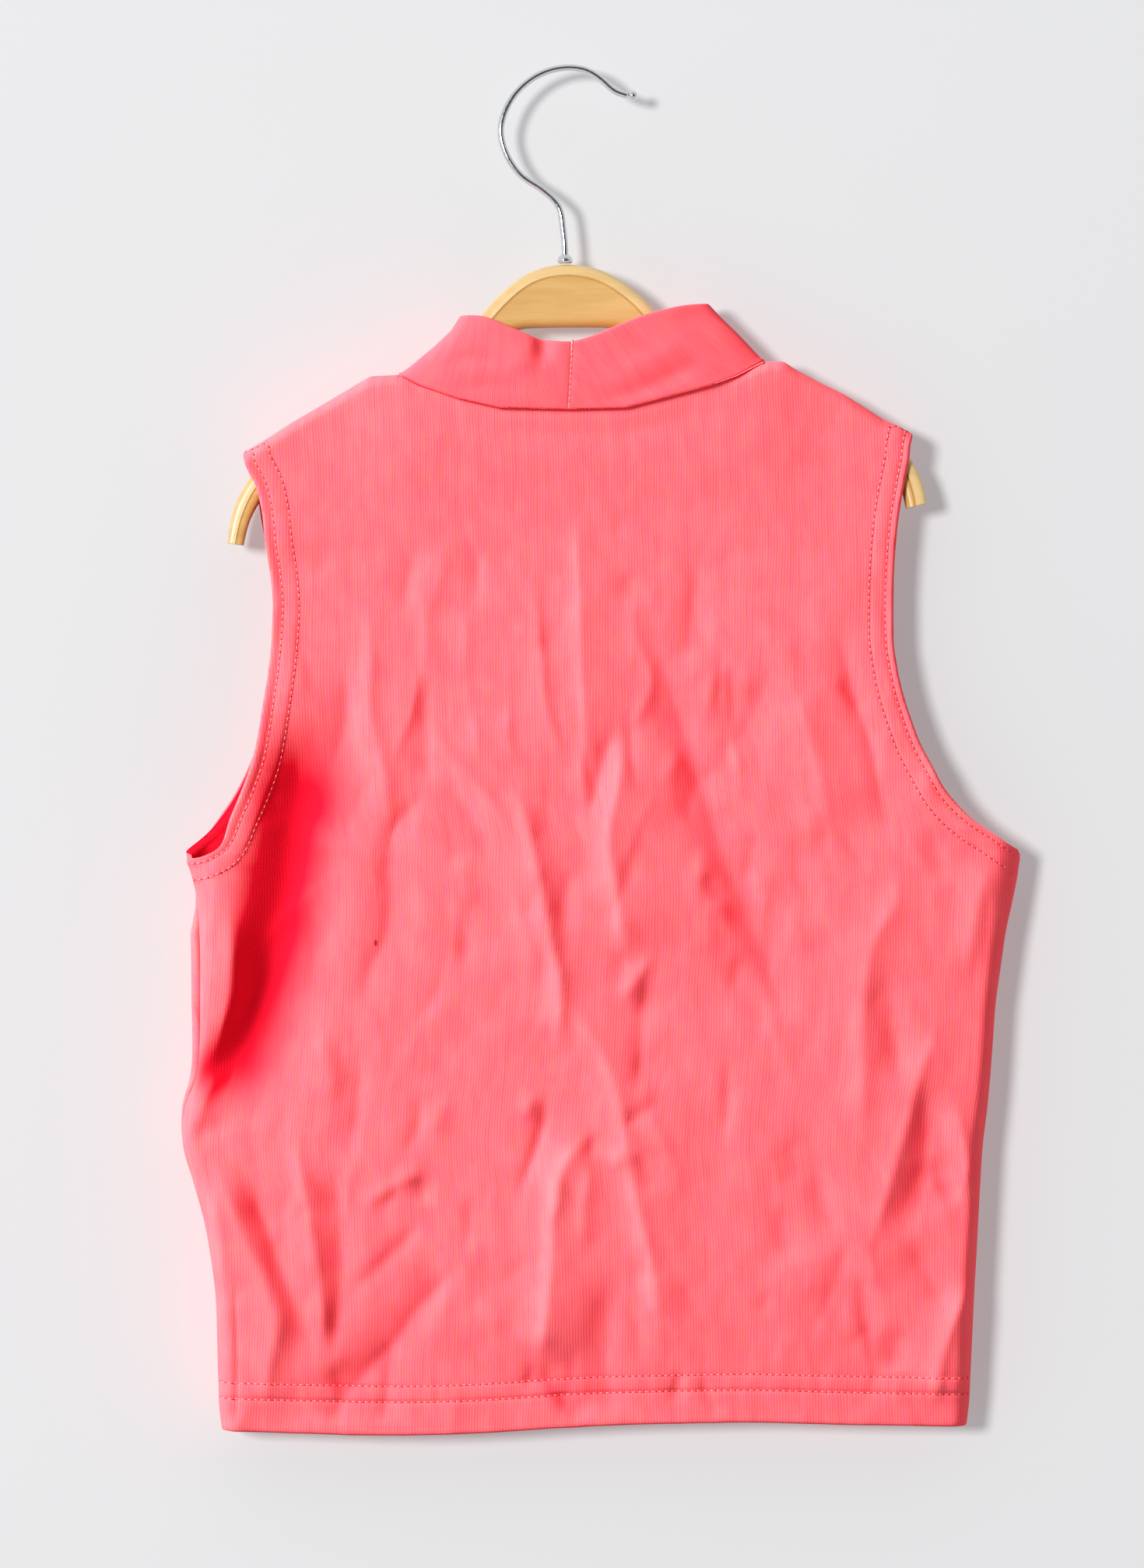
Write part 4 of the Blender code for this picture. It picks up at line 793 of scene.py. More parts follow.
def panel_grid(front):
    """The outside of a panel, row by row from the hem, with what its cloth and stitches need."""
    sign = 1.0 if front else -1.0
    last = len(LEVELS) - 1
    left_z = column(LEVELS, "left_z")
    right_z = column(LEVELS, "right_z")
    knots = (path_knots(line_xz(column(LEVELS, "left_x"), left_z))
             + path_knots(line_xz(column(LEVELS, "right_x"), right_z))) / 2.0

    count = round((knots[last - 1] - HEM_STEPS[-1]) / ROW_STEP)
    rising = np.linspace(HEM_STEPS[-1], knots[last - 1], count + 1)[1:]
    turns = np.radians(TURNS)
    drops = SHOULDER_DROP * (1.0 - np.cos(turns))
    turning = knots[last] - drops / TURN_SPAN * (knots[last] - knots[last - 1])
    at = np.concatenate([HEM_STEPS, rising, turning])
    first_turn = len(at) - len(turns)
    edges_z = (smooth(left_z, knots, at), smooth(right_z, knots, at))
    left_x, right_x = edge_x(knots, at, edges_z, front)
    seam = np.interp(at, knots, column(LEVELS, "seam"))

    reach = EDGE_STEPS[-1]
    top_left = LEVELS[last].left_x
    top_right = LEVELS[last].right_x
    left_count = round((NECK_LEFT - top_left - reach) / COLUMN_STEP)
    right_count = round((top_right - reach - NECK_RIGHT) / COLUMN_STEP)
    inner = np.concatenate([
        np.linspace(top_left + reach, NECK_LEFT, left_count + 1)[1:-1],
        neck_columns(),
        np.linspace(NECK_RIGHT, top_right - reach, right_count + 1)[1:-1],
    ])
    shares = (inner - top_left - reach) / (top_right - top_left - 2 * reach)

    def across(left, right):
        """x of every column in one row."""
        near = [left + step for step in EDGE_STEPS]
        middle = left + reach + shares * (right - left - 2 * reach)
        far = [right - step for step in reversed(EDGE_STEPS)]
        return np.concatenate([near, middle, far])

    x = np.array([across(left, right) for left, right in zip(left_x, right_x)])
    above = seam < 1.0
    corner = int(np.argmax(above)) - 1
    x[:, 1] += OPEN_STEP * above
    x[:, -2] -= OPEN_STEP * above
    share = (x - left_x[:, None]) / (right_x - left_x)[:, None]
    straight = edges_z[0][:, None] + (edges_z[1] - edges_z[0])[:, None] * share
    above_hem = ((edges_z[0] - left_z[0]) / (left_z[last] - left_z[0]))[:, None]
    above_arm = (edges_z[0] - left_z[UNDERARM]) / (left_z[last] - left_z[UNDERARM])

    name = "front_z" if front else "back_z"
    top_x = across(top_left, top_right)
    top_share = (top_x - top_left) / (top_right - top_left)
    top_z = np.interp(top_x, column(TOP_EDGE, "x"), column(TOP_EDGE, name))
    top_bow = top_z - (left_z[last] + (right_z[last] - left_z[last]) * top_share)
    hem_share = (x[0] - left_x[0]) / (right_x[0] - left_x[0])
    hem_x = np.clip(x[0], HEM_EDGE[0].x, HEM_EDGE[-1].x)
    hem_z = smooth(column(HEM_EDGE, name), column(HEM_EDGE, "x"), hem_x)
    hem_bow = hem_z - (left_z[0] + (right_z[0] - left_z[0]) * hem_share)
    z = straight + np.clip(above_arm, 0.0, 1.0)[:, None] * top_bow + (1.0 - above_hem) * hem_bow
    for edge_z, own_share, inward in ((edges_z[0], 1.0 - share, x - left_x[:, None]),
                                      (edges_z[1], share, right_x[:, None] - x)):
        z += even_rows(edge_z)[:, None] * own_share * ease((inward - EVEN_START) / EVEN_WIDTH)
    neck = (top_x > NECK_LEFT + SEAM_GAP) & (top_x < NECK_RIGHT - SEAM_GAP)
    neck_drops = np.interp(TURNS, NECK_DROP_TURNS, NECK_DROPS)
    neck_drops[-1] = 0.0
    for index, drop in enumerate(drops):
        z[first_turn + index] = top_z - np.where(neck, neck_drops[index], drop)

    apart = np.hypot(left_x - left_x[corner], edges_z[0] - edges_z[0][corner])
    rim = ease((apart - RIM_START) / RIM_SPAN) * above
    left_near, right_near = (line_distance(x, z, line_xz(x[corner:, edge], z[corner:, edge]))
                             for edge in (0, -1))
    edge_near = np.minimum(left_near, right_near)
    neck_below = line_distance(x, z, line_xz(top_x[neck], top_z[neck]))
    hem_rise = np.repeat(at[:, None], x.shape[1], axis=1)

    flat = body_depth(x, z, front)
    depth = folded_depth(x, z, flat, front)
    sunk = flat - depth
    depth += hem_relief(x, z, hem_rise, edge_near, neck_below)

    # The sides round into the side seam, and stay open along the armholes.
    seam_y = np.interp(z[:, 0], column(SIDE_WRAP, "z"), column(SIDE_WRAP, "seam_y"), left=0, right=0)
    wrap_out = np.interp(z[:, 0], column(SIDE_WRAP, "z"), column(SIDE_WRAP, "front_out"), left=0, right=0)
    y = sign * depth
    strip = SEAM_GAP / 2.0 + FLAT_STRIP
    for edge, own_y in ((0, seam_y[:, None]), (-1, 0.0)):
        side = line_xz(x[:corner + 1, edge], z[:corner + 1, edge])
        under_corner = ease((z - side[-1, 1] + CORNER_DROP) / CORNER_RISE)
        reach_in = SIDE_ROUND + (UNDERARM_ROUND - SIDE_ROUND) * under_corner
        away = np.clip(line_distance(x, z, side) / reach_in, 0.0, 1.0)
        round_in = np.sqrt(1.0 - (1.0 - away) ** 2)
        closed = strip + (depth - strip) * round_in
        closed[:corner + 1, edge] = SEAM_SHUT
        y = np.where(away < 1.0, own_y * (1.0 - round_in) + sign * closed, y)
    if front:
        for index, step in enumerate(EDGE_STEPS):
            if step > SIDE_ROUND:
                break
            round_in = math.sqrt(1.0 - (1.0 - step / SIDE_ROUND) ** 2)
            x[:, index] -= wrap_out * math.sin(math.pi * min(1.0, round_in + WRAP_LEAD * (index > 0)))

    # The top rounds over the hanger into the shoulder seam, or meets the collar's lower edge.
    neck_y = np.where(neck, collar_depth(top_x, NECK_LEFT, NECK_RIGHT), 0.0)
    for index, turn in enumerate(turns):
        row = first_turn + index
        start = np.maximum(neck_y + NECK_ROLL * neck, SEAM_SHUT if index == len(turns) - 1 else strip)
        turned = start + (np.maximum(depth[row], start) - start) * math.sin(turn)
        y[row] = sign * turned

    hem = ease(1.0 - (hem_rise - HEM_DEPTH) / HEM_STEP)
    armhole = ease(1.0 - (edge_near - ARMHOLE_HEM) / HEM_STEP)
    wall = CLOTH + (TURNED_HEM - CLOTH) * np.maximum(hem, armhole)
    return Panel(np.stack([x, y, z], axis=2), wall, hem_rise, edge_near, sunk, rim, corner)


def bell(value, middle, width):
    """1 at the middle, dying out over the width."""
    return np.exp(-((value - middle) / width) ** 2)


def ripple(value, length, swing, slow, patch, start):
    """Uneven ripples along a sewn edge, strong in some stretches and gone in others."""
    return np.sin(value / length + swing * np.sin(value / slow)) * np.sin(value / patch + start)


def stitch_grooves(hem_rise, edge_near, width):
    """1 along each row of stitches, fading out over a width to either side."""
    rows = [(hem_rise, row) for row in HEM_ROWS] + [(edge_near, row) for row in ARMHOLE_ROWS]
    return sum(bell(rise, row, width) for rise, row in rows)


def hem_relief(x, z, hem_rise, edge_near, neck_below):
    """Turned hems stand out a little, with a groove at each row of stitches and puckers between."""
    turned_in = np.maximum(ease(1.0 - hem_rise + HEM_DEPTH), ease(1.0 - edge_near + ARMHOLE_HEM))
    out = HEM_RELIEF * turned_in
    out -= GROOVE_RELIEF * stitch_grooves(hem_rise, edge_near, GROOVE_SPREAD)
    out += RIPPLE * ripple(x, *HEM_RIPPLE) * bell(hem_rise, HEM_MIDDLE, HEM_SPREAD)
    out += RIPPLE * ripple(z, *ARMHOLE_RIPPLE) * bell(edge_near, ARMHOLE_MIDDLE, ARMHOLE_SPREAD)
    pucker = np.sin(x / 0.95 + 2.0 * np.sin(x / 6.7)) * (0.6 + 0.4 * np.sin(x / 11.0))
    out += PUCKER * pucker * np.exp(-neck_below / PUCKER_REACH) * ease(neck_below / PUCKER_START)
    return out


# ---- meshes -----------------------------------------------------------------------------------
def grid_normals(points):
    """Unit normals of a grid, from the faces round each point."""
    across = points[:-1, 1:] - points[1:, :-1]
    along = points[1:, 1:] - points[:-1, :-1]
    face = np.cross(along, across)
    total = np.zeros_like(points)
    total[:-1, :-1] += face
    total[1:, :-1] += face
    total[:-1, 1:] += face
    total[1:, 1:] += face
    return unit(total)


def facing(normals, sign):
    """The normals, turned over where that is needed for the middle one to face this way along Y."""
    middle = normals[normals.shape[0] // 2, normals.shape[1] // 2]
    return normals if middle[1] * sign > 0 else -normals


def grid_quads(rows, columns):
    """The faces of a grid of points."""
    grid = np.arange(rows * columns).reshape(rows, columns)
    corners = [grid[:-1, :-1], grid[:-1, 1:], grid[1:, 1:], grid[1:, :-1]]
    return np.stack(corners, axis=2).reshape(-1, 4)


def ring_quads(ring, after):
    """Faces between two closed rings of points."""
    return np.stack([ring, after, np.roll(after, -1), np.roll(ring, -1)], axis=1)


def tube_faces(rings, size):
    """Faces of a closed tube of so many rings, and its two ends."""
    numbers = np.arange(rings * size).reshape(rings, size)
    faces = []
    for low, high in zip(numbers[:-1], numbers[1:]):
        faces += np.stack([low, np.roll(low, -1), np.roll(high, -1), high], axis=1).tolist()
    return faces + [numbers[0, ::-1].tolist(), numbers[-1].tolist()]


def border(shape):
    """Row and column of each point round a grid: along the bottom, up the right and back."""
    rows, columns = shape
    bottom = [(0, j) for j in range(columns)]
    right = [(i, columns - 1) for i in range(1, rows)]
    top = [(rows - 1, j) for j in range(columns - 2, -1, -1)]
    left = [(i, 0) for i in range(rows - 2, 0, -1)]
    return np.array(bottom + right + top + left)


def new_object(name, data):
    item = bpy.data.objects.new(name, data)
    bpy.context.scene.collection.objects.link(item)
    return item


def put_mesh(name, points, faces, material, uv=None, values=None):
    """A smooth-shaded object from points in millimetres."""
    mesh = bpy.data.meshes.new(name)
    mesh.from_pydata((np.asarray(points) * MM).tolist(), [], faces)
    mesh.materials.append(material)
    if uv is not None:
        corners = np.empty(len(mesh.loops), dtype=np.int32)
        mesh.loops.foreach_get("vertex_index", corners)
        layer = mesh.uv_layers.new(name="grain")
        layer.data.foreach_set("uv", np.asarray(uv, dtype=np.float32)[corners].ravel())
    # The values are painted light: painted shade or a painted highlight at each point.
    if values is not None:
        shade = mesh.attributes.new("painted_light", "FLOAT", "POINT")
        shade.data.foreach_set("value", np.asarray(values, dtype=np.float32))
    mesh.shade_smooth()
    return new_object(name, mesh)


def shell(name, panel, front, material):
    """The closed cloth of a panel: its outside, its inside, and edges rounded where they are open."""
    points = panel.points.copy()
    sign = 1.0 if front else -1.0
    rows, columns = points.shape[:2]
    normals = facing(grid_normals(points), sign)

    # Open edges draw in by what their rounding adds.
    hem_out = np.zeros_like(points[0])
    hem_out[:, 2] = -1.0
    for index, rise in enumerate(HEM_STEPS):
        share = max(0.0, 1.0 - rise / RIM_DRAW)
        points[index] -= hem_out * (RIM_INSET * panel.wall[index] * share)[:, None]
    for edge, step_sign in ((0, 1), (columns - 1, -1)):
        line = points[:, edge]
        outward = unit(np.cross(np.gradient(line, axis=0), normals[:, edge]))
        outward *= -step_sign * np.sign(outward[rows // 2, 0])
        pull = RIM_INSET * panel.wall[:, edge] * panel.rim
        for index, step in enumerate(EDGE_STEPS):
            if step > SIDE_ROUND:
                break
            points[:, edge + step_sign * index] -= outward * (pull * (1.0 - step / SIDE_ROUND))[:, None]
    normals = facing(grid_normals(points), sign)

    inside = points - normals * panel.wall[:, :, None]
    row, place = border((rows, columns)).T
    edge_outer = points[row, place]
    edge_normal = normals[row, place]
    wall = panel.wall[row, place]
    run = np.roll(edge_outer, -1, axis=0) - np.roll(edge_outer, 1, axis=0)
    outward = unit(-sign * np.cross(run, edge_normal))
    side = (place == 0) | (place == columns - 1)
    open_share = np.where(row == 0, 1.0, np.where(side & (row < rows - 1), panel.rim[row], 0.0))
    middle = edge_outer - edge_normal * wall[:, None] / 2.0
    rims = []
    for index in range(1, RIM_POINTS + 1):
        angle = math.pi * index / (RIM_POINTS + 1)
        up = edge_normal * math.cos(angle)
        out = outward * (math.sin(angle) * open_share * 2.0 * RIM_INSET)[:, None]
        rims.append(middle + (up + out) * wall[:, None] / 2.0)

    count = rows * columns
    turn_over = -1 if front else 1
    quads = grid_quads(rows, columns)[:, ::turn_over]
    faces = quads.tolist() + (quads[:, ::-1] + count).tolist()
    rings = [row * columns + place]
    for index in range(RIM_POINTS):
        rings.append(2 * count + index * len(row) + np.arange(len(row)))
    rings.append(rings[0] + count)
    for ring, after in zip(rings[:-1], rings[1:]):
        faces += ring_quads(ring, after)[:, ::turn_over].tolist()

    everything = np.concatenate([points.reshape(-1, 3), inside.reshape(-1, 3), *rims])
    uv = grain(panel)
    uv = np.concatenate([uv.reshape(-1, 2), uv.reshape(-1, 2), *[uv[row, place]] * RIM_POINTS])
    # Painted shade in the folds and over the whole inside, and a painted highlight on the ridges.
    painted_light = painted_fold_light(panel)
    inner = np.full(count, INSIDE_SHADE)
    values = np.concatenate([painted_light.ravel(), inner, *[painted_light[row, place]] * RIM_POINTS])
    item = put_mesh(name, everything, faces, material, uv, values)
    tree = BVHTree.FromPolygons(points.reshape(-1, 3).tolist(), quads.tolist())
    return item, tree


def grain(panel):
    """Where each point lies in the knit, in millimetres: across the wales, and along them."""
    points = panel.points
    steps = np.linalg.norm(np.diff(points[:, :, [0, 1]], axis=1), axis=2)
    across = np.concatenate([np.zeros((len(points), 1)), np.cumsum(steps, axis=1)], axis=1)
    middle = np.argmin(np.abs(points[-1, :, 0]))
    across = across - across[:, middle:middle + 1]
    across = WALE_FOLLOW * across + (1.0 - WALE_FOLLOW) * points[:, :, 0]
    return np.stack([across, points[:, :, 2]], axis=2)


def blurred(values, passes):
    """Values of a grid averaged with their neighbours, so many times over."""
    for _ in range(passes):
        wide = np.pad(values, 1, mode="edge")
        values = (wide[:-2, 1:-1] + wide[2:, 1:-1] + wide[1:-1, :-2] + wide[1:-1, 2:] + values) / 5.0
    return values


def painted_fold_light(panel):
    """Painted light per point: painted shade, 1 in a deep fold and on a steep right flank that faces away
    from the key light, 0.5 on flat cloth, and 0 on a ridge, where the painted highlight goes.
    """
    x = panel.points[:, :, 0]
    sunk = blurred(panel.sunk, SHADE_PASSES)
    lean = np.gradient(sunk, axis=1) / np.maximum(np.gradient(x, axis=1), LEAST_STEP)
    flank = np.clip((blurred(lean, SHADE_PASSES) - FLANK_LEAN) / FLANK_SPAN, 0.0, 1.0)
    # painted shade from the sinking and from slopes that face away from the key light
    shade = 0.5 + sunk / SUNK_SPAN + 0.5 * flank
    shade += GROOVE_SHADE * stitch_grooves(panel.hem_rise, panel.edge_near, GROOVE_SHADE_SPREAD)
    return np.clip(shade, 0.0, 1.0)


# ---- stitches ---------------------------------------------------------------------------------
STITCH_PITCH = 2.6
STITCH_LENGTH = 1.5
THREAD = 0.22            # radius
THREAD_RISE = 0.10       # of a thread's middle over the cloth
# A hole is a dark bead: painted shade where a thread goes into the cloth.
HOLE_SHARE = 0.95        # length of a hole, by the gap between two threads
HOLE_WIDTH = 1.5         # width of a hole, by the thread's
BEAD_RINGS = ((0.18, 0.85), (0.5, 1.0), (0.82, 0.85))
BEAD_SIDES = 6
BEAD_FLAT = 0.8          # height of a thread, by its width
RAY_START = 60.0         # the stitches are laid on the cloth from this far away
STITCH_AHEAD = 0.3       # length over which a stitch takes the cloth's direction
STITCH_JUMP = 3.0        # a longer step means that the cloth has ended


def place_stitches(spots, pitch, lengths, radius):
    """Points, faces and shades of short threads, and of the dark beads between them, painted shade of the
    stitch holes.

    Each spot is a place, a direction and the cloth's normal.
    """
    beads = []
    for place, along, normal in spots:
        beads.append((place + normal * THREAD_RISE, along, normal, lengths, radius, 0.0))
        hole = place + along * pitch / 2.0
        beads.append((hole, along, normal, HOLE_SHARE * (pitch - lengths), radius * HOLE_WIDTH, 1.0))
    points = []
    faces = []
    shades = []
    for place, along, normal, length, width, shade in beads:
        side = np.cross(along, normal)
        first = len(points)
        points.append(place - along * length / 2.0)
        for share, swell in BEAD_RINGS:
            for turn in range(BEAD_SIDES):
                angle = FULL_TURN * turn / BEAD_SIDES
                lift = width * swell * (math.cos(angle) * side + BEAD_FLAT * math.sin(angle) * normal)
                points.append(place + along * (share - 0.5) * length + lift)
        points.append(place + along * length / 2.0)
        tail = len(points) - 1
        shades += [shade] * (tail + 1 - first)
        for turn in range(BEAD_SIDES):
            after = (turn + 1) % BEAD_SIDES
            faces.append([first, first + 1 + turn, first + 1 + after])
            for ring in range(len(BEAD_RINGS) - 1):
                low = first + 1 + ring * BEAD_SIDES
                faces.append([low + turn, low + BEAD_SIDES + turn, low + BEAD_SIDES + after, low + after])
            high = tail - BEAD_SIDES
            faces.append([high + turn, tail, high + after])
    return points, faces, shades


def stitch_line(line, tree, sign, pitch=STITCH_PITCH):
    """Spots for stitches along a line in the XZ plane, laid on the cloth."""
    line = smooth_path(line, 1.0)
    knots = path_knots(line)

    def cast(place):
        """Where the cloth lies at this distance along the line, and its normal."""
        x, z = (np.interp(place, knots, line[:, axis]) for axis in (0, 1))
        return tree.ray_cast(Vector((x, sign * RAY_START, z)), Vector((0.0, -sign, 0.0)), 2.0 * RAY_START)[:2]

    spots = []
    for place in np.arange(pitch / 2.0, knots[-1], pitch):
        spot, normal = cast(place)
        ahead = cast(place + STITCH_AHEAD)[0]
        if spot is None or ahead is None:
            continue
        along = np.array(ahead - spot)
        length = np.linalg.norm(along)
        if length < TINY or length > STITCH_JUMP:
            continue
        along /= length
        normal = np.array(normal)
        normal *= 1.0 if normal[1] * sign > 0 else -1.0
        normal -= along * normal.dot(along)
        normal /= np.linalg.norm(normal)
        spots.append((np.array(spot), along, normal))
    return spots


def offset_line(line, distance):
    """A line moved sideways: to the left of its direction, seen from the back."""
    run = unit(np.gradient(line, axis=0))
    return line + line_xz(-run[:, 1], run[:, 0]) * distance


# ---- collar -----------------------------------------------------------------------------------
NECK_MIDDLE = 9          # row of TOP_EDGE at the seam
FOLD_MIDDLE = 4          # row of COLLAR_TOP there
SEAM_PINCH = 0.35        # how far the collar's ends pull in at their seam
COLLAR_STEP = 1.4        # height between rows of the collar
FOLD_POINTS = 7          # points round the fold at its top
SEAM_CLEAR = 0.013       # share of the width between its seam and the next column
SEAM_COLUMNS = (SEAM_GAP / 2.0, 0.4, 0.9)
PINCH_WIDTH = 0.5        # over which the seam pulls the collar in
FOLD_FOOT = 0.12         # share of its height over which the folds die out at its lower seam
UPRIGHT_SHARE = 0.04     # how far up the row over the lower seam counts
FRONT_SHIFT = 300.0      # where the front half reads its small waves
COLLAR_LEAN = 0.55       # the band's wales lean, because the strip is pulled round the neck
LIFT_COLUMN = 10         # the column whose length is taken for the band's height
COLLAR_SHADE = 0.5       # it gets no painted fold shade or highlight
SEAM_SHARES = (          # where its seam lies across it, at its lower and upper edge
    (SEAM_BOTTOM_X - NECK_LEFT) / (NECK_RIGHT - NECK_LEFT),
    (SEAM_TOP_X - COLLAR_SIDES[-1].left_x) / (COLLAR_SIDES[-1].right_x - COLLAR_SIDES[-1].left_x),
)


def seam_at(rise):
    """x of the collar's seam at this share of its height."""
    return SEAM_BOTTOM_X + (SEAM_TOP_X - SEAM_BOTTOM_X) * rise


def collar_row(rise):
    """One level of the collar's outside, from its seam round the right side and back to it."""
    left_x, left_z, right_x, right_z = (
        np.interp(rise, column(COLLAR_SIDES, "rise"), column(COLLAR_SIDES, name))
        for name in ("left_x", "left_z", "right_x", "right_z"))
    foot, head = COLLAR_SIDES[0], COLLAR_SIDES[-1]
    seam_x = seam_at(rise)

    def height(share, name):
        """Height between the neckline and the folded top edge."""
        low_x = NECK_LEFT + share * (NECK_RIGHT - NECK_LEFT)
        top_left = COLLAR_TOP[0].x
        top_x = top_left + share * (COLLAR_TOP[-1].x - top_left)
        before, low, after = (np.interp(low_x + step, column(TOP_EDGE, "x"), column(TOP_EDGE, name))
                              for step in (-1.0, 0.0, 1.0))
        low = low + COLLAR_GAP * np.hypot(1.0, COLLAR_CLEARANCE * (after - before) / 2.0)
        top = smooth(column(COLLAR_TOP, name), column(COLLAR_TOP, "x"), top_x)
        side_low = foot.left_z + share * (foot.right_z - foot.left_z)
        side_top = head.left_z + share * (head.right_z - head.left_z)
        side = left_z + share * (right_z - left_z)
        return side + (low - side_low) * (1.0 - rise) + (top - side_top) * rise

    def half_loop(shares, sign, name):
        """Points across the back (sign -1) or the front (sign 1) of this level."""
        x = left_x + shares * (right_x - left_x)
        return np.stack([x, sign * collar_depth(x, left_x, right_x), height(shares, name)], axis=1)

    shares = (neck_columns() - NECK_LEFT) / (NECK_RIGHT - NECK_LEFT)
    seam_share = (seam_x - left_x) / (right_x - left_x)
    near = np.array(SEAM_COLUMNS) / (right_x - left_x)
    right_back = np.concatenate([seam_share + near, shares[shares > max(SEAM_SHARES) + SEAM_CLEAR]])
    left_back = np.concatenate([shares[shares < min(SEAM_SHARES) - SEAM_CLEAR], seam_share - near[::-1]])
    return np.concatenate([
        half_loop(right_back, -1.0, "back_z"),
        half_loop(shares[1:-1][::-1], 1.0, "front_z"),
        half_loop(left_back, -1.0, "back_z"),
    ])


def make_collar(material):
    """The collar: one strip folded over at the top, both raw edges down at the neckline."""
    count = round((COLLAR_TOP[FOLD_MIDDLE].back_z - TOP_EDGE[NECK_MIDDLE].back_z) / COLLAR_STEP)
    rises = np.linspace(0.0, 1.0, count + 1)
    rows = [collar_row(rise) for rise in rises]
    upright = rows[0].copy()
    upright[:, 2] += COLLAR_UPRIGHT
    rows.insert(1, upright)
    rises = np.insert(rises, 1, UPRIGHT_SHARE)
    points = np.array(rows)
    points[:, :, 2] -= rises[:, None] * COLLAR_WALL / 2.0
    normals = facing(grid_normals(points), 1.0)

    # Soft folds on the back half, and the pinch at the seam.
    back = points[:, :, 1] < 0
    relief = np.where(back, fold_relief(points[:, :, 0], points[:, :, 2], COLLAR_FOLDS), 0.0)
    shifted = points[:, :, 0] + FRONT_SHIFT * ~back
    relief += 0.5 * small_waves(shifted, points[:, :, 2], CREASE_SEED + COLLAR_SEED)
    seam_away = np.abs(points[:, :, 0] - seam_at(rises)[:, None])
    relief += np.where(back, SEAM_PINCH * np.exp(-seam_away / PINCH_WIDTH), 0.0)
    relief *= ease(rises / FOLD_FOOT)[:, None]
    points = points - normals * relief[:, :, None]
    normals = facing(grid_normals(points), 1.0)

    upward = unit(points[-1] - points[-3])
    middle = points[-1] - normals[-1] * COLLAR_WALL / 2.0

    def folded(depth_out, depth_in, radius):
        """Down one face, over the fold and down the other."""
        arc = []
        for index in range(1, FOLD_POINTS + 1):
            angle = math.pi * index / (FOLD_POINTS + 1)
            arc.append(middle + radius * (math.cos(angle) * normals[-1] + math.sin(angle) * upward))
        first = points - normals * depth_out
        second = (points - normals * depth_in)[::-1]
        return np.concatenate([first, np.array(arc), second])

    outer = folded(0.0, COLLAR_WALL, COLLAR_WALL / 2.0)
    inner = folded(COLLAR_LAYER, COLLAR_WALL - COLLAR_LAYER, COLLAR_WALL / 2.0 - COLLAR_LAYER)
    levels, columns = outer.shape[:2]
    total = levels * columns
    quads = grid_quads(levels, columns)
    row, place = border((levels, columns)).T
    ring = row * columns + place
    faces = quads.tolist() + (quads[:, ::-1] + total).tolist() + ring_quads(ring, ring + total).tolist()

    along = path_knots(points[0])
    lift = path_knots(outer[:, LIFT_COLUMN])[:, None]
    uv = np.stack(np.broadcast_arrays(along + COLLAR_LEAN * lift, lift), axis=2).reshape(-1, 2)
    both = np.concatenate([outer.reshape(-1, 3), inner.reshape(-1, 3)])
    shades = np.full(2 * total, COLLAR_SHADE)
    item = put_mesh("collar_cloth", both, faces, material, np.concatenate([uv, uv]), shades)
    tree = BVHTree.FromPolygons(outer.reshape(-1, 3).tolist(), quads.tolist())
    return item, tree


# ---- hanger -----------------------------------------------------------------------------------
EDGE_SHARE = 0.3         # the most of a narrow cut that its rounded edge and its line take up
GROOVE_SHARE = 0.58
EDGE_POINTS = 6
GROOVE_CUT = (           # across the engraved line: place, depth and 1 on the raised rim, which gets the painted highlight
    (-0.5, 0.0, 1.0), (-0.36, 0.25, 1.0), (-0.15, 0.9, 0.0),
    (0.15, 0.9, 0.0), (0.36, 0.25, 0.0), (0.5, 0.0, 0.0),
)
BOARD_STEP = 1.8
BOARD_PASSES = 6
BOARD_SHARP = math.radians(50)
WIRE_STEP = 0.9
WIRE_PASSES = 8
TURNED_SIDES = 40
TURNED_SHARP = math.radians(60)


def rounded_section(width):
    """Outline of a cut across the board: distance from the upper edge, y, and 1 on the raised rim, where the
    painted highlight goes.
    """
    half = BOARD_THICK / 2.0
    radius = min(BOARD_EDGE, EDGE_SHARE * width)
    groove = min(GROOVE_INSET, GROOVE_SHARE * width)
    angles = [math.pi / 2.0 * index / EDGE_POINTS for index in range(EDGE_POINTS + 1)]
    side = [(radius * (1.0 - math.cos(a)), half - radius + radius * math.sin(a), 1.0) for a in angles]
    for step, sunk, rim in GROOVE_CUT:
        side.append((groove + step * GROOVE_WIDTH, half - sunk * GROOVE_DEPTH, rim))
    side.append(((groove + width - radius) / 2.0, half, 0.0))
    side += [(width - down, y, 0.0) for down, y, _ in reversed(side[:EDGE_POINTS + 1])]
    return [(down, -y, rim) for down, y, rim in side] + [(down, y, rim) for down, y, rim in reversed(side)]


def make_board(material):
    """The hanger board, lofted through smooth cuts from tip to tip."""
    top = np.array([(row.top_x, row.top_z) for row in BOARD_STATIONS])
    low = np.array([(row.low_x, row.low_z) for row in BOARD_STATIONS])
    knots = (path_knots(top) + path_knots(low)) / 2.0
    at = np.linspace(0.0, knots[-1], round(knots[-1] / BOARD_STEP) + 1)
    points = []
    rims = []
    for upper, lower in zip(*(evened(curve_through(line, knots, at), BOARD_PASSES) for line in (top, low))):
        width = math.dist(upper, lower)
        run = (lower - upper) / width
        for down, y, rim in rounded_section(width):
            points.append((upper[0] + run[0] * down, y, upper[1] + run[1] * down))
            rims.append(rim)
    faces = tube_faces(len(at), len(points) // len(at))
    # the rim values mark where the painted highlight goes
    item = put_mesh("hanger_wood", points, faces, material, None, rims)
    tidy = bmesh.new()
    tidy.from_mesh(item.data)
    bmesh.ops.recalc_face_normals(tidy, faces=tidy.faces)
    tidy.to_mesh(item.data)
    tidy.free()
    item.data.set_sharp_from_angle(angle=BOARD_SHARP)
    return item


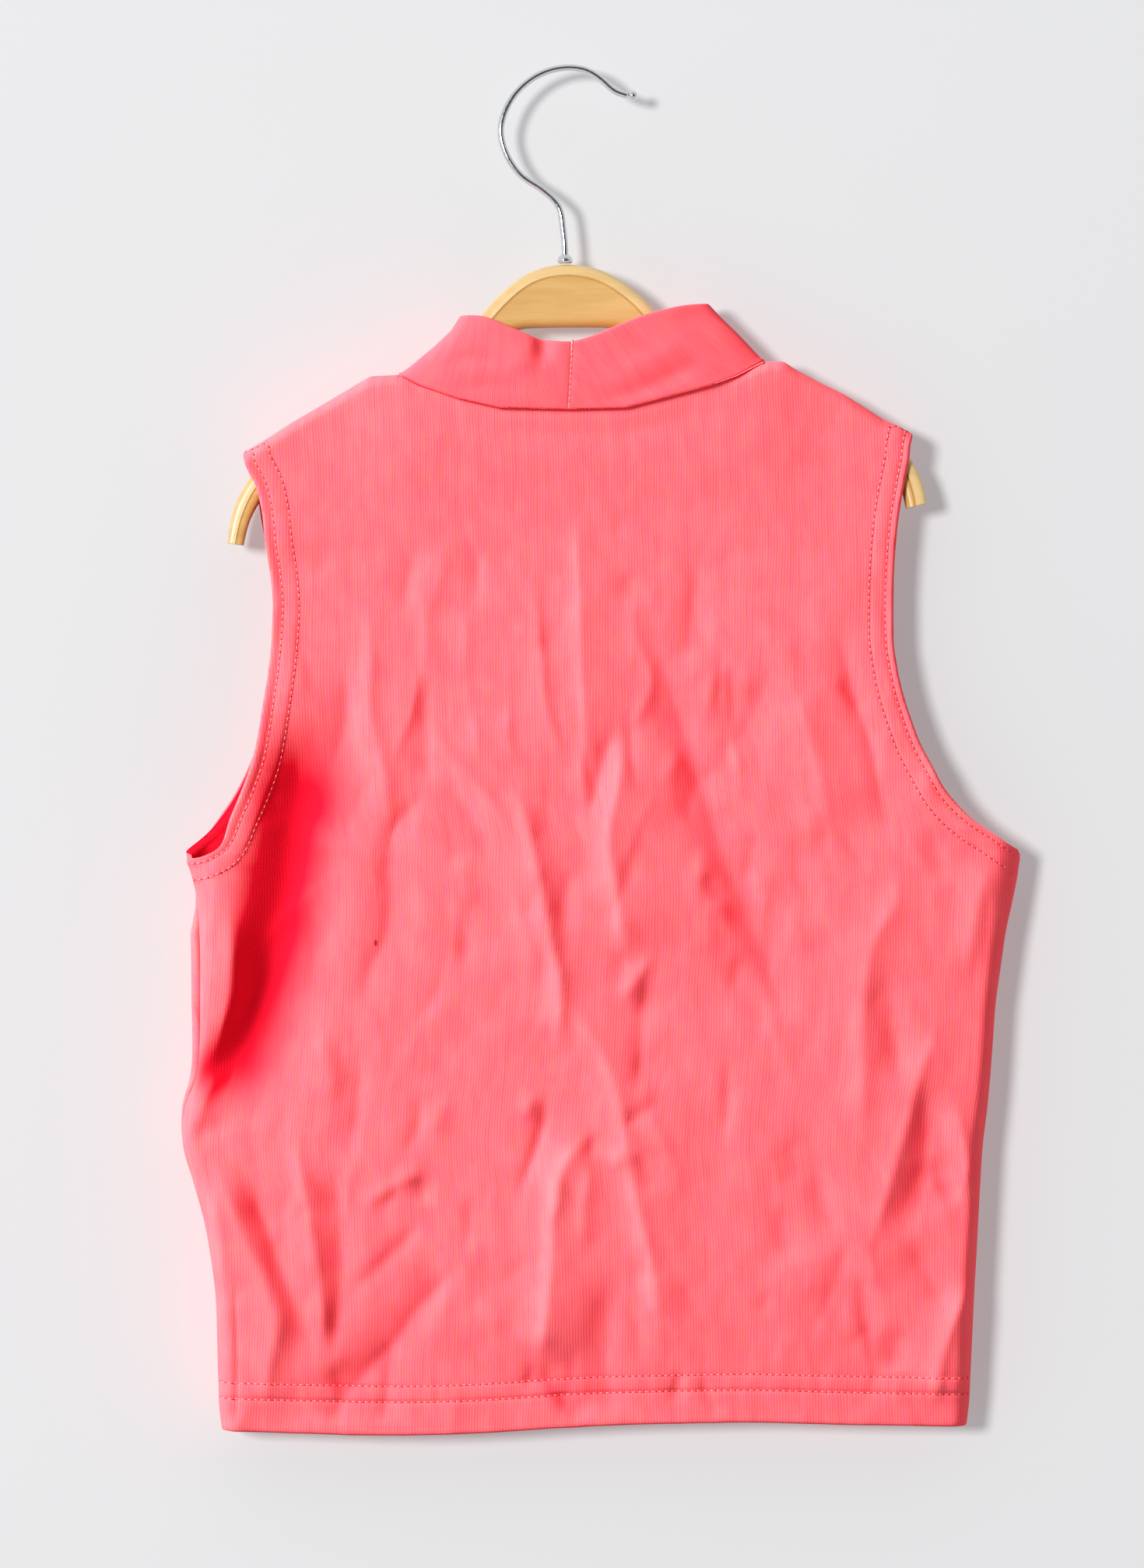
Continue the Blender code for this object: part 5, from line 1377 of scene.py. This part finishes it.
def turned(name, profile, centre, material):
    """A closed turned shape: profile is (radius, height) from its lower to its upper end."""
    points = []
    for radius, rise in profile:
        for step in range(TURNED_SIDES):
            angle = FULL_TURN * step / TURNED_SIDES
            x = centre[0] + radius * math.cos(angle)
            points.append((x, radius * math.sin(angle), centre[1] + rise))
    item = put_mesh(name, points, tube_faces(len(profile), TURNED_SIDES), material)
    item.data.set_sharp_from_angle(angle=TURNED_SHARP)
    return item


def make_wire(material):
    """The hook's bent wire, with rounded ends."""
    route = evened(smooth_path(HOOK_LINE, WIRE_STEP), WIRE_PASSES)
    curve = bpy.data.curves.new("hook_chrome_wire", "CURVE")
    curve.dimensions = "3D"
    curve.bevel_depth = WIRE_RADIUS * MM
    curve.bevel_resolution = 6
    curve.use_fill_caps = True
    spline = curve.splines.new("POLY")
    spline.points.add(len(route) - 1)
    for point, (x, z) in zip(spline.points, route):
        point.co = (x * MM, 0.0, z * MM, 1.0)
    spline.use_smooth = True
    curve.materials.append(material)
    return new_object("hook_chrome_wire", curve)


# ---- materials --------------------------------------------------------------------------------
def srgb(red, green, blue):
    """A colour given as 0 to 255 on a screen, as the shader wants it."""
    values = [value / 255.0 for value in (red, green, blue)]
    return tuple(v / 12.92 if v <= 0.04045 else ((v + 0.055) / 1.055) ** 2.4 for v in values) + (1.0,)


class Nodes:
    """Adds nodes to one tree and links them."""

    def __init__(self, tree):
        self.tree = tree

    def node(self, kind, inputs=None, **settings):
        item = self.tree.nodes.new(kind)
        for key, value in settings.items():
            setattr(item, key, value)
        for key, value in (inputs or {}).items():
            self.put(item.inputs[key], value)
        return item

    def put(self, socket, value):
        if isinstance(value, bpy.types.NodeSocket):
            self.tree.links.new(value, socket)
        else:
            socket.default_value = value

    def math(self, operation, *values):
        return self.node("ShaderNodeMath", dict(enumerate(values)), operation=operation).outputs[0]

    def vector_math(self, operation, first, second):
        return self.node("ShaderNodeVectorMath", {0: first, 1: second}, operation=operation).outputs

    def times(self, first, second):
        return self.math("MULTIPLY", first, second)

    def span(self, value, low, high, to_low=0.0, to_high=1.0, **settings):
        inputs = {"Value": value, "From Min": low, "From Max": high, "To Min": to_low, "To Max": to_high}
        return self.node("ShaderNodeMapRange", inputs, **settings).outputs[0]

    def mix(self, share, first, second):
        return self.node("ShaderNodeMix", {0: share, 6: first, 7: second}, data_type="RGBA").outputs[2]

    def vector(self, x, y, z=0.0):
        return self.node("ShaderNodeCombineXYZ", {"X": x, "Y": y, "Z": z}).outputs[0]

    def stretched(self, parts, factors):
        """A place, each part of it multiplied by its own factor."""
        return self.vector(*[self.times(part, factor) for part, factor in zip(parts, factors)])

    def noise(self, vector, scale, detail=2.0, roughness=0.5):
        inputs = {"Vector": vector, "Scale": scale, "Detail": detail, "Roughness": roughness}
        return self.node("ShaderNodeTexNoise", inputs).outputs["Fac"]

    def parts(self, vector):
        return self.node("ShaderNodeSeparateXYZ", {"Vector": vector}).outputs


class Shader(Nodes):
    """A new material and its nodes."""

    def __init__(self, name):
        self.material = bpy.data.materials.new(name)
        self.material.use_nodes = True
        super().__init__(self.material.node_tree)
        self.surface = self.tree.nodes["Principled BSDF"]

    def set(self, **values):
        for key, value in values.items():
            self.put(self.surface.inputs[key.replace("_", " ")], value)

    def bump(self, height, strength, distance):
        inputs = {"Height": height, "Strength": strength, "Distance": distance}
        self.set(Normal=self.node("ShaderNodeBump", inputs).outputs[0])

    def place(self):
        """The place on the object, in metres."""
        return self.node("ShaderNodeTexCoord").outputs["Object"]

    def painted_light(self):
        """The painted light that put_mesh gave each point: painted shade or a painted highlight."""
        return self.node("ShaderNodeAttribute", attribute_name="painted_light").outputs["Fac"]


WALE = 1.12              # width of one wale, in millimetres
BAND_WALE = 0.95         # and of one in the collar
COURSE = 0.9             # height of one row of loops
STAIN_PLACE = (-0.0757, 0.0, -0.3483)  # in metres, as its size
STAIN_WIDTH = 0.0008
STAIN_HEIGHT = 0.0013


def jersey(name, warm, cool, deep, pale, wale, stained):
    """Fine-wale jersey: ribs of loops, uneven streaks along them, painted shade in the folds and on flanks
    facing away from the light, and a painted highlight on ridges.
    """
    cloth = Shader(name)
    u, v, _ = cloth.parts(cloth.node("ShaderNodeUVMap", uv_map="grain").outputs[0])

    def uneven(across, along, detail, roughness=0.5):
        """Noise drawn out along the wales."""
        return cloth.noise(cloth.stretched((u, v), (across, along)), 1.0, detail, roughness)

    wander = cloth.times(cloth.math("SUBTRACT", uneven(0.05, 0.014, 3.0), 0.5), 3.2)
    strand = cloth.math("DIVIDE", cloth.math("ADD", u, wander), wale)
    rib = cloth.math("MULTIPLY_ADD", cloth.math("SINE", cloth.times(strand, FULL_TURN)), 0.5, 0.5)
    valley = cloth.math("POWER", cloth.math("SUBTRACT", 1.0, rib), 3.0)
    line = cloth.times(valley, cloth.span(uneven(0.62, 0.022, 4.0, 0.6), 0.38, 0.66, 0.10, 1.0))
    lean = cloth.math("PINGPONG", strand, 0.5)
    loops = cloth.math("ADD", cloth.math("DIVIDE", v, COURSE), cloth.times(lean, 0.9))
    loop = cloth.math("SINE", cloth.times(loops, FULL_TURN))
    fuzz = cloth.noise(cloth.vector(u, v), 1.9, 3.0, 0.7)
    blotch = uneven(0.16, 0.07, 4.0)
    ticks = cloth.span(uneven(0.35, 1.3, 2.0), 0.66, 0.78)
    painted_light = cloth.painted_light()

    color = cloth.mix(cloth.span(uneven(0.95, 0.09, 3.0, 0.6), 0.35, 0.65), warm, cool)
    for share, over in (
        (cloth.times(line, 0.50), deep),
        (cloth.times(ticks, 0.26), deep),
        (cloth.span(blotch, 0.60, 0.30, 0.0, 0.05), deep),
        (cloth.span(blotch, 0.42, 0.72, 0.0, 0.16), pale),
        (cloth.span(fuzz, 0.3, 0.7, 0.0, 0.22), pale),
        # painted shade in the folds, and a painted highlight on the ridges
        (cloth.span(painted_light, 0.53, 0.95, 0.0, 0.97), deep),
        (cloth.span(painted_light, 0.47, 0.1, 0.0, 0.45), pale),
    ):
        color = cloth.mix(share, color, over)
    if stained:
        color = cloth.mix(stain(cloth, fuzz), color, srgb(112, 22, 24))
    height = cloth.math("MULTIPLY_ADD", loop, 0.06, cloth.times(rib, 0.34))
    height = cloth.math("ADD", height, cloth.times(fuzz, 0.55))
    cloth.set(Base_Color=color, Roughness=cloth.span(fuzz, 0.3, 0.7, 0.78, 0.92), Specular_IOR_Level=0.04)
    cloth.set(Sheen_Weight=0.04, Sheen_Roughness=0.45, Sheen_Tint=srgb(240, 190, 190))
    cloth.bump(height, 0.55, 0.00022)
    return cloth.material


def stain(cloth, fuzz):
    """How far the small stain covers each point of the back."""
    away = cloth.vector_math("SUBTRACT", cloth.place(), STAIN_PLACE)[0]
    away_x, away_y, away_z = cloth.parts(away)
    spot = cloth.math("ADD", cloth.math("POWER", cloth.math("DIVIDE", away_x, STAIN_WIDTH), 2.0),
                      cloth.math("POWER", cloth.math("DIVIDE", away_z, STAIN_HEIGHT), 2.0))
    spot = cloth.math("ADD", spot, cloth.times(cloth.math("SUBTRACT", fuzz, 0.5), 1.6))
    return cloth.times(cloth.span(spot, 1.3, 0.5, 0.0, 0.75), cloth.math("LESS_THAN", away_y, 0.0))


def thread(name, color):
    """Sewing thread: a slight twist, a soft gloss, and the painted shade of the stitch holes."""
    yarn = Shader(name)
    twist = yarn.noise(yarn.place(), 2600.0, 2.0)
    twisted = yarn.mix(yarn.span(twist, 0.3, 0.7, 0.0, 0.3), color, srgb(232, 96, 104))
    # painted shade on the hole beads
    yarn.set(Base_Color=yarn.mix(yarn.painted_light(), twisted, srgb(170, 12, 36)))
    yarn.set(Roughness=yarn.span(twist, 0.3, 0.7, 0.55, 0.75))
    yarn.bump(twist, 0.4, 0.0001)
    return yarn.material


def pale_wood(name):
    """Varnished pale wood, with its grain along the board and a painted highlight on its rounded rim."""
    wood = Shader(name)
    parts = wood.parts(wood.place())
    grain_lines = wood.noise(wood.stretched(parts, (22.0, 300.0, 170.0)), 1.0, 5.0, 0.62)
    broad = wood.noise(wood.stretched(parts, (14.0, 30.0, 46.0)), 1.0, 2.0)
    streak = wood.span(grain_lines, 0.35, 0.65)
    face = wood.mix(streak, srgb(202, 156, 84), srgb(216, 172, 100))
    face = wood.mix(wood.span(broad, 0.35, 0.65, 0.0, 0.35), face, srgb(194, 145, 74))
    # the lighter rim colour is a painted highlight
    edge = wood.mix(streak, srgb(216, 179, 118), srgb(226, 191, 132))
    wood.set(Base_Color=wood.mix(wood.painted_light(), face, edge), Coat_Weight=0.25, Coat_Roughness=0.2)
    wood.set(Roughness=wood.span(grain_lines, 0.3, 0.7, 0.30, 0.42))
    wood.bump(grain_lines, 0.12, 0.0002)
    return wood.material


def chrome(name):
    """Bright plated wire, very slightly uneven."""
    metal = Shader(name)
    haze = metal.noise(metal.place(), 900.0, 3.0)
    metal.set(Base_Color=metal.mix(haze, srgb(214, 216, 220), srgb(232, 233, 236)), Metallic=1.0)
    metal.set(Roughness=metal.span(haze, 0.3, 0.7, 0.07, 0.15))
    metal.bump(haze, 0.04, 0.0002)
    return metal.material


def paper(name, color, glow):
    """A plain lit backdrop that shows its front only, so views from behind see past it."""
    sheet = Shader(name)
    darker = tuple(0.97 * value for value in color[:3]) + (1.0,)
    sheet.set(Base_Color=sheet.mix(sheet.noise(sheet.place(), 3.0, 3.0), color, darker))
    sheet.set(Emission_Color=srgb(250, 250, 252), Emission_Strength=glow)
    sheet.set(Roughness=0.95, Specular_IOR_Level=0.1)
    clear = sheet.node("ShaderNodeBsdfTransparent").outputs[0]
    behind = sheet.node("ShaderNodeNewGeometry").outputs["Backfacing"]
    both = sheet.node("ShaderNodeMixShader", {0: behind, 1: sheet.surface.outputs[0], 2: clear})
    sheet.put(sheet.tree.nodes["Material Output"].inputs["Surface"], both.outputs[0])
    return sheet.material


# ---- stage, light and camera ------------------------------------------------------------------
PIXELS_PER_MM = 3.21
PHOTO_HEIGHT = 2014      # pixels
VIEW_HEIGHT = PHOTO_HEIGHT / PIXELS_PER_MM * MM
VIEW_CENTRE = Vector((0.0025, 0.0, -0.285))
CAMERA_AWAY = 2.4
WALL_Y = 0.0185
FLOOR_Z = -0.75
STAGE_HALF = 1.4


def flat_panel(name, corners, material):
    """One flat face of the stage, which throws no shadow and no light of its own colour."""
    mesh = bpy.data.meshes.new(name)
    mesh.from_pydata(corners, [], [[0, 1, 2, 3]])
    mesh.materials.append(material)
    item = new_object(name, mesh)
    item.visible_diffuse = False
    item.visible_shadow = False
    return item


def soft_light(name, place, size, power, color):
    """A round light that faces the middle of the view."""
    data = bpy.data.lights.new(name, "AREA")
    data.shape = "DISK"
    data.size = size
    data.energy = power
    data.color = color
    item = new_object(name, data)
    item.location = place
    item.rotation_euler = (VIEW_CENTRE - Vector(place)).to_track_quat("-Z", "Y").to_euler()
    return item


def light_only(light, items):
    """The light falls on these objects alone; all objects still cast its shadows."""
    lit = bpy.data.collections.new(light.name + "_falls_on")
    for item in items:
        lit.objects.link(item)
    light.light_linking.receiver_collection = lit


def make_world():
    """Soft light all round, brighter up to the left, and dark where the chrome mirrors the camera."""
    world = bpy.data.worlds.new("soft_room")
    world.use_nodes = True
    room = Nodes(world.node_tree)
    toward = room.node("ShaderNodeTexCoord").outputs["Generated"]
    left_up = room.vector_math("DOT_PRODUCT", toward, (-0.62, -0.25, 0.74))["Value"]
    ahead = room.vector_math("DOT_PRODUCT", toward, (0.12, -0.99, -0.05))["Value"]
    level = room.span(left_up, -0.9, 1.0, 0.50, 0.80)
    dim = room.span(ahead, 0.55, 0.92, 1.0, 0.12, interpolation_type="SMOOTHSTEP")
    background = room.tree.nodes["Background"]
    background.inputs["Color"].default_value = (0.94, 0.97, 1.0, 1.0)
    room.put(background.inputs["Strength"], room.times(level, dim))
    bpy.context.scene.world = world
    bpy.context.scene.view_settings.view_transform = "Standard"


def make_stage(cloth, hanger):
    """The white wall and floor, and the lights."""
    wall = paper("stage_wall_paint", srgb(180, 180, 181), 0.26)
    half = STAGE_HALF
    low = FLOOR_Z
    flats = [
        flat_panel("stage_wall", [(-half, WALL_Y, low), (half, WALL_Y, low), (half, WALL_Y, half),
                                  (-half, WALL_Y, half)], wall),
        flat_panel("stage_floor", [(-half, -half, low), (half, -half, low), (half, half, low),
                                   (-half, half, low)], wall),
    ]
    light_only(soft_light("key_light", (-4.15, -2.25, 2.1), 2.0, 980.0, (1.0, 0.99, 0.98)), cloth)
    light_only(soft_light("fill_light", (1.9, -2.3, -0.5), 2.2, 26.0, (1.0, 0.30, 0.32)), cloth)
    glow = soft_light("wall_light", (-1.85, -4.3, 0.25), 0.9, 212.0, (1.0, 0.995, 0.985))
    light_only(glow, flats + hanger)
    soft_light("back_light", (-1.2, 2.2, 0.9), 1.6, 34.0, (1.0, 1.0, 1.0))
    make_world()


def make_camera():
    """The photo's view: straight on and level."""
    data = bpy.data.cameras.new("photo_camera")
    data.sensor_fit = "AUTO"
    data.sensor_width = 36.0
    data.lens = data.sensor_width * CAMERA_AWAY / VIEW_HEIGHT
    camera = new_object("photo_camera", data)
    camera.location = VIEW_CENTRE - Vector((0.0, CAMERA_AWAY, 0.0))
    camera.rotation_euler = (math.pi / 2.0, 0.0, 0.0)
    bpy.context.scene.camera = camera


# ---- putting it together ----------------------------------------------------------------------
FERRULE_PROFILE = [      # radius and height, from its foot up
    (FERRULE_RADIUS - 0.5, 0.0), (FERRULE_RADIUS - 0.15, 0.4), (FERRULE_RADIUS, 1.1),
    (FERRULE_RADIUS - 0.1, 1.9), (FERRULE_RADIUS - 0.55, 2.6), (FERRULE_RADIUS - 1.1, 3.1),
    (WIRE_RADIUS + 0.25, FERRULE_HEIGHT),
]
BALL_RINGS = 17
BALL_START = 0.15        # the first ring, by the step between rings
BALL_STEP = math.pi / 16.3
SEAM_PITCH = 2.2         # the collar's seam has smaller stitches, beside its line
SEAM_LENGTH = 1.1
SEAM_THREAD = 0.16
SEAM_BESIDE = 0.45
SEAM_LOW = 1.2           # they start this far over the neckline
SEAM_HIGH = 0.6          # and end this far under the fold


def stitch_object(name, spots, material, pitch=STITCH_PITCH, lengths=STITCH_LENGTH, radius=THREAD):
    """Threads and the dark beads of painted shade at their holes, at these spots, as one piece."""
    points, faces, shades = place_stitches(spots, pitch, lengths, radius)
    return put_mesh(name, points, faces, material, None, shades)


def armhole_lines(panel):
    """The two armhole edges of a panel, each from the underarm up, in the XZ plane."""
    left = panel.points[panel.corner + 1:, 0][:, [0, 2]]
    right = panel.points[panel.corner + 1:, -1][:, [0, 2]]
    return left, right


def row_line(panel, rise):
    """The line across a panel at one height above the hem, in the XZ plane."""
    row = int(np.argmin(np.abs(panel.hem_rise[:, 0] - rise)))
    return panel.points[row, 3:-3][:, [0, 2]]


def dress():
    """Makes every piece, and returns the cloth and the hanger."""
    # deep is the colour of the painted shade in folds and of the wale lines and streaks; pale that of the
    # painted highlight on ridges and of the fuzz and blotches
    deep = srgb(216, 2, 34)
    pale = srgb(238, 122, 126)
    band_pale = srgb(238, 108, 114)
    coral = jersey("coral_jersey", srgb(234, 90, 90), srgb(234, 83, 101), deep, pale, WALE, True)
    band = jersey("coral_jersey_band", srgb(234, 82, 86), srgb(234, 76, 92), deep, band_pale, BAND_WALE,
                  False)
    seam_thread = thread("coral_thread", srgb(238, 118, 122))
    wood = pale_wood("pale_wood_varnished")
    metal = chrome("chrome_plate")

    board = make_board(wood)
    wire = make_wire(metal)
    foot = BOARD_STATIONS[len(BOARD_STATIONS) // 2 - 1].top_z + SEAM_GAP
    ring = turned("hook_chrome_ferrule", FERRULE_PROFILE, (HOOK_LINE[0].x, foot), metal)
    angles = [BALL_STEP * (index + BALL_START) for index in range(BALL_RINGS)]
    ball = [(TIP_RADIUS * math.sin(angle), -TIP_RADIUS * math.cos(angle)) for angle in angles]
    tip = turned("hook_chrome_tip", ball, HOOK_TIP, metal)

    back = panel_grid(False)
    front = panel_grid(True)
    back_cloth, back_tree = shell("back_cloth", back, False, coral)
    front_cloth, front_tree = shell("front_cloth", front, True, coral)
    collar, collar_tree = make_collar(band)

    threads = {}
    for name, panel, tree, sign in (("back", back, back_tree, -1.0), ("front", front, front_tree, 1.0)):
        spots = []
        for rise in HEM_ROWS:
            spots += stitch_line(row_line(panel, rise), tree, sign)
        threads[name + "_hem"] = stitch_object(name + "_hem_stitches", spots, seam_thread)
        spots = []
        left, right = armhole_lines(panel)
        for distance in ARMHOLE_ROWS:
            spots += stitch_line(offset_line(left, -distance), tree, sign)
            spots += stitch_line(offset_line(right, distance), tree, sign)
        threads[name + "_armhole"] = stitch_object(name + "_armhole_stitches", spots, seam_thread)
    line = [(SEAM_BOTTOM_X + SEAM_BESIDE, TOP_EDGE[NECK_MIDDLE].back_z + SEAM_LOW),
            (SEAM_TOP_X + SEAM_BESIDE, COLLAR_TOP[FOLD_MIDDLE].back_z - SEAM_HIGH)]
    spots = stitch_line(line, collar_tree, -1.0, SEAM_PITCH)
    threads["collar"] = stitch_object("collar_seam_stitches", spots, seam_thread, SEAM_PITCH, SEAM_LENGTH,
                                      SEAM_THREAD)

    for piece in (board, wire, ring, tip, back_cloth, front_cloth, collar, *threads.values()):
        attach(piece, "root")
    for piece, node, slot in (
        (board, "hanger_board", "board_wood"),
        (wire, "hook_wire", "hook_chrome"),
        (ring, "hook_ferrule", "hook_chrome"),
        (tip, "hook_tip", "hook_chrome"),
        (back_cloth, "back_panel", "jersey"),
        (front_cloth, "front_panel", "jersey"),
        (collar, "collar_band", "collar_jersey"),
    ):
        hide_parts(node)
    return [back_cloth, front_cloth, collar, *threads.values()], [board, wire, ring, tip]


make_stage(*dress())
make_camera()
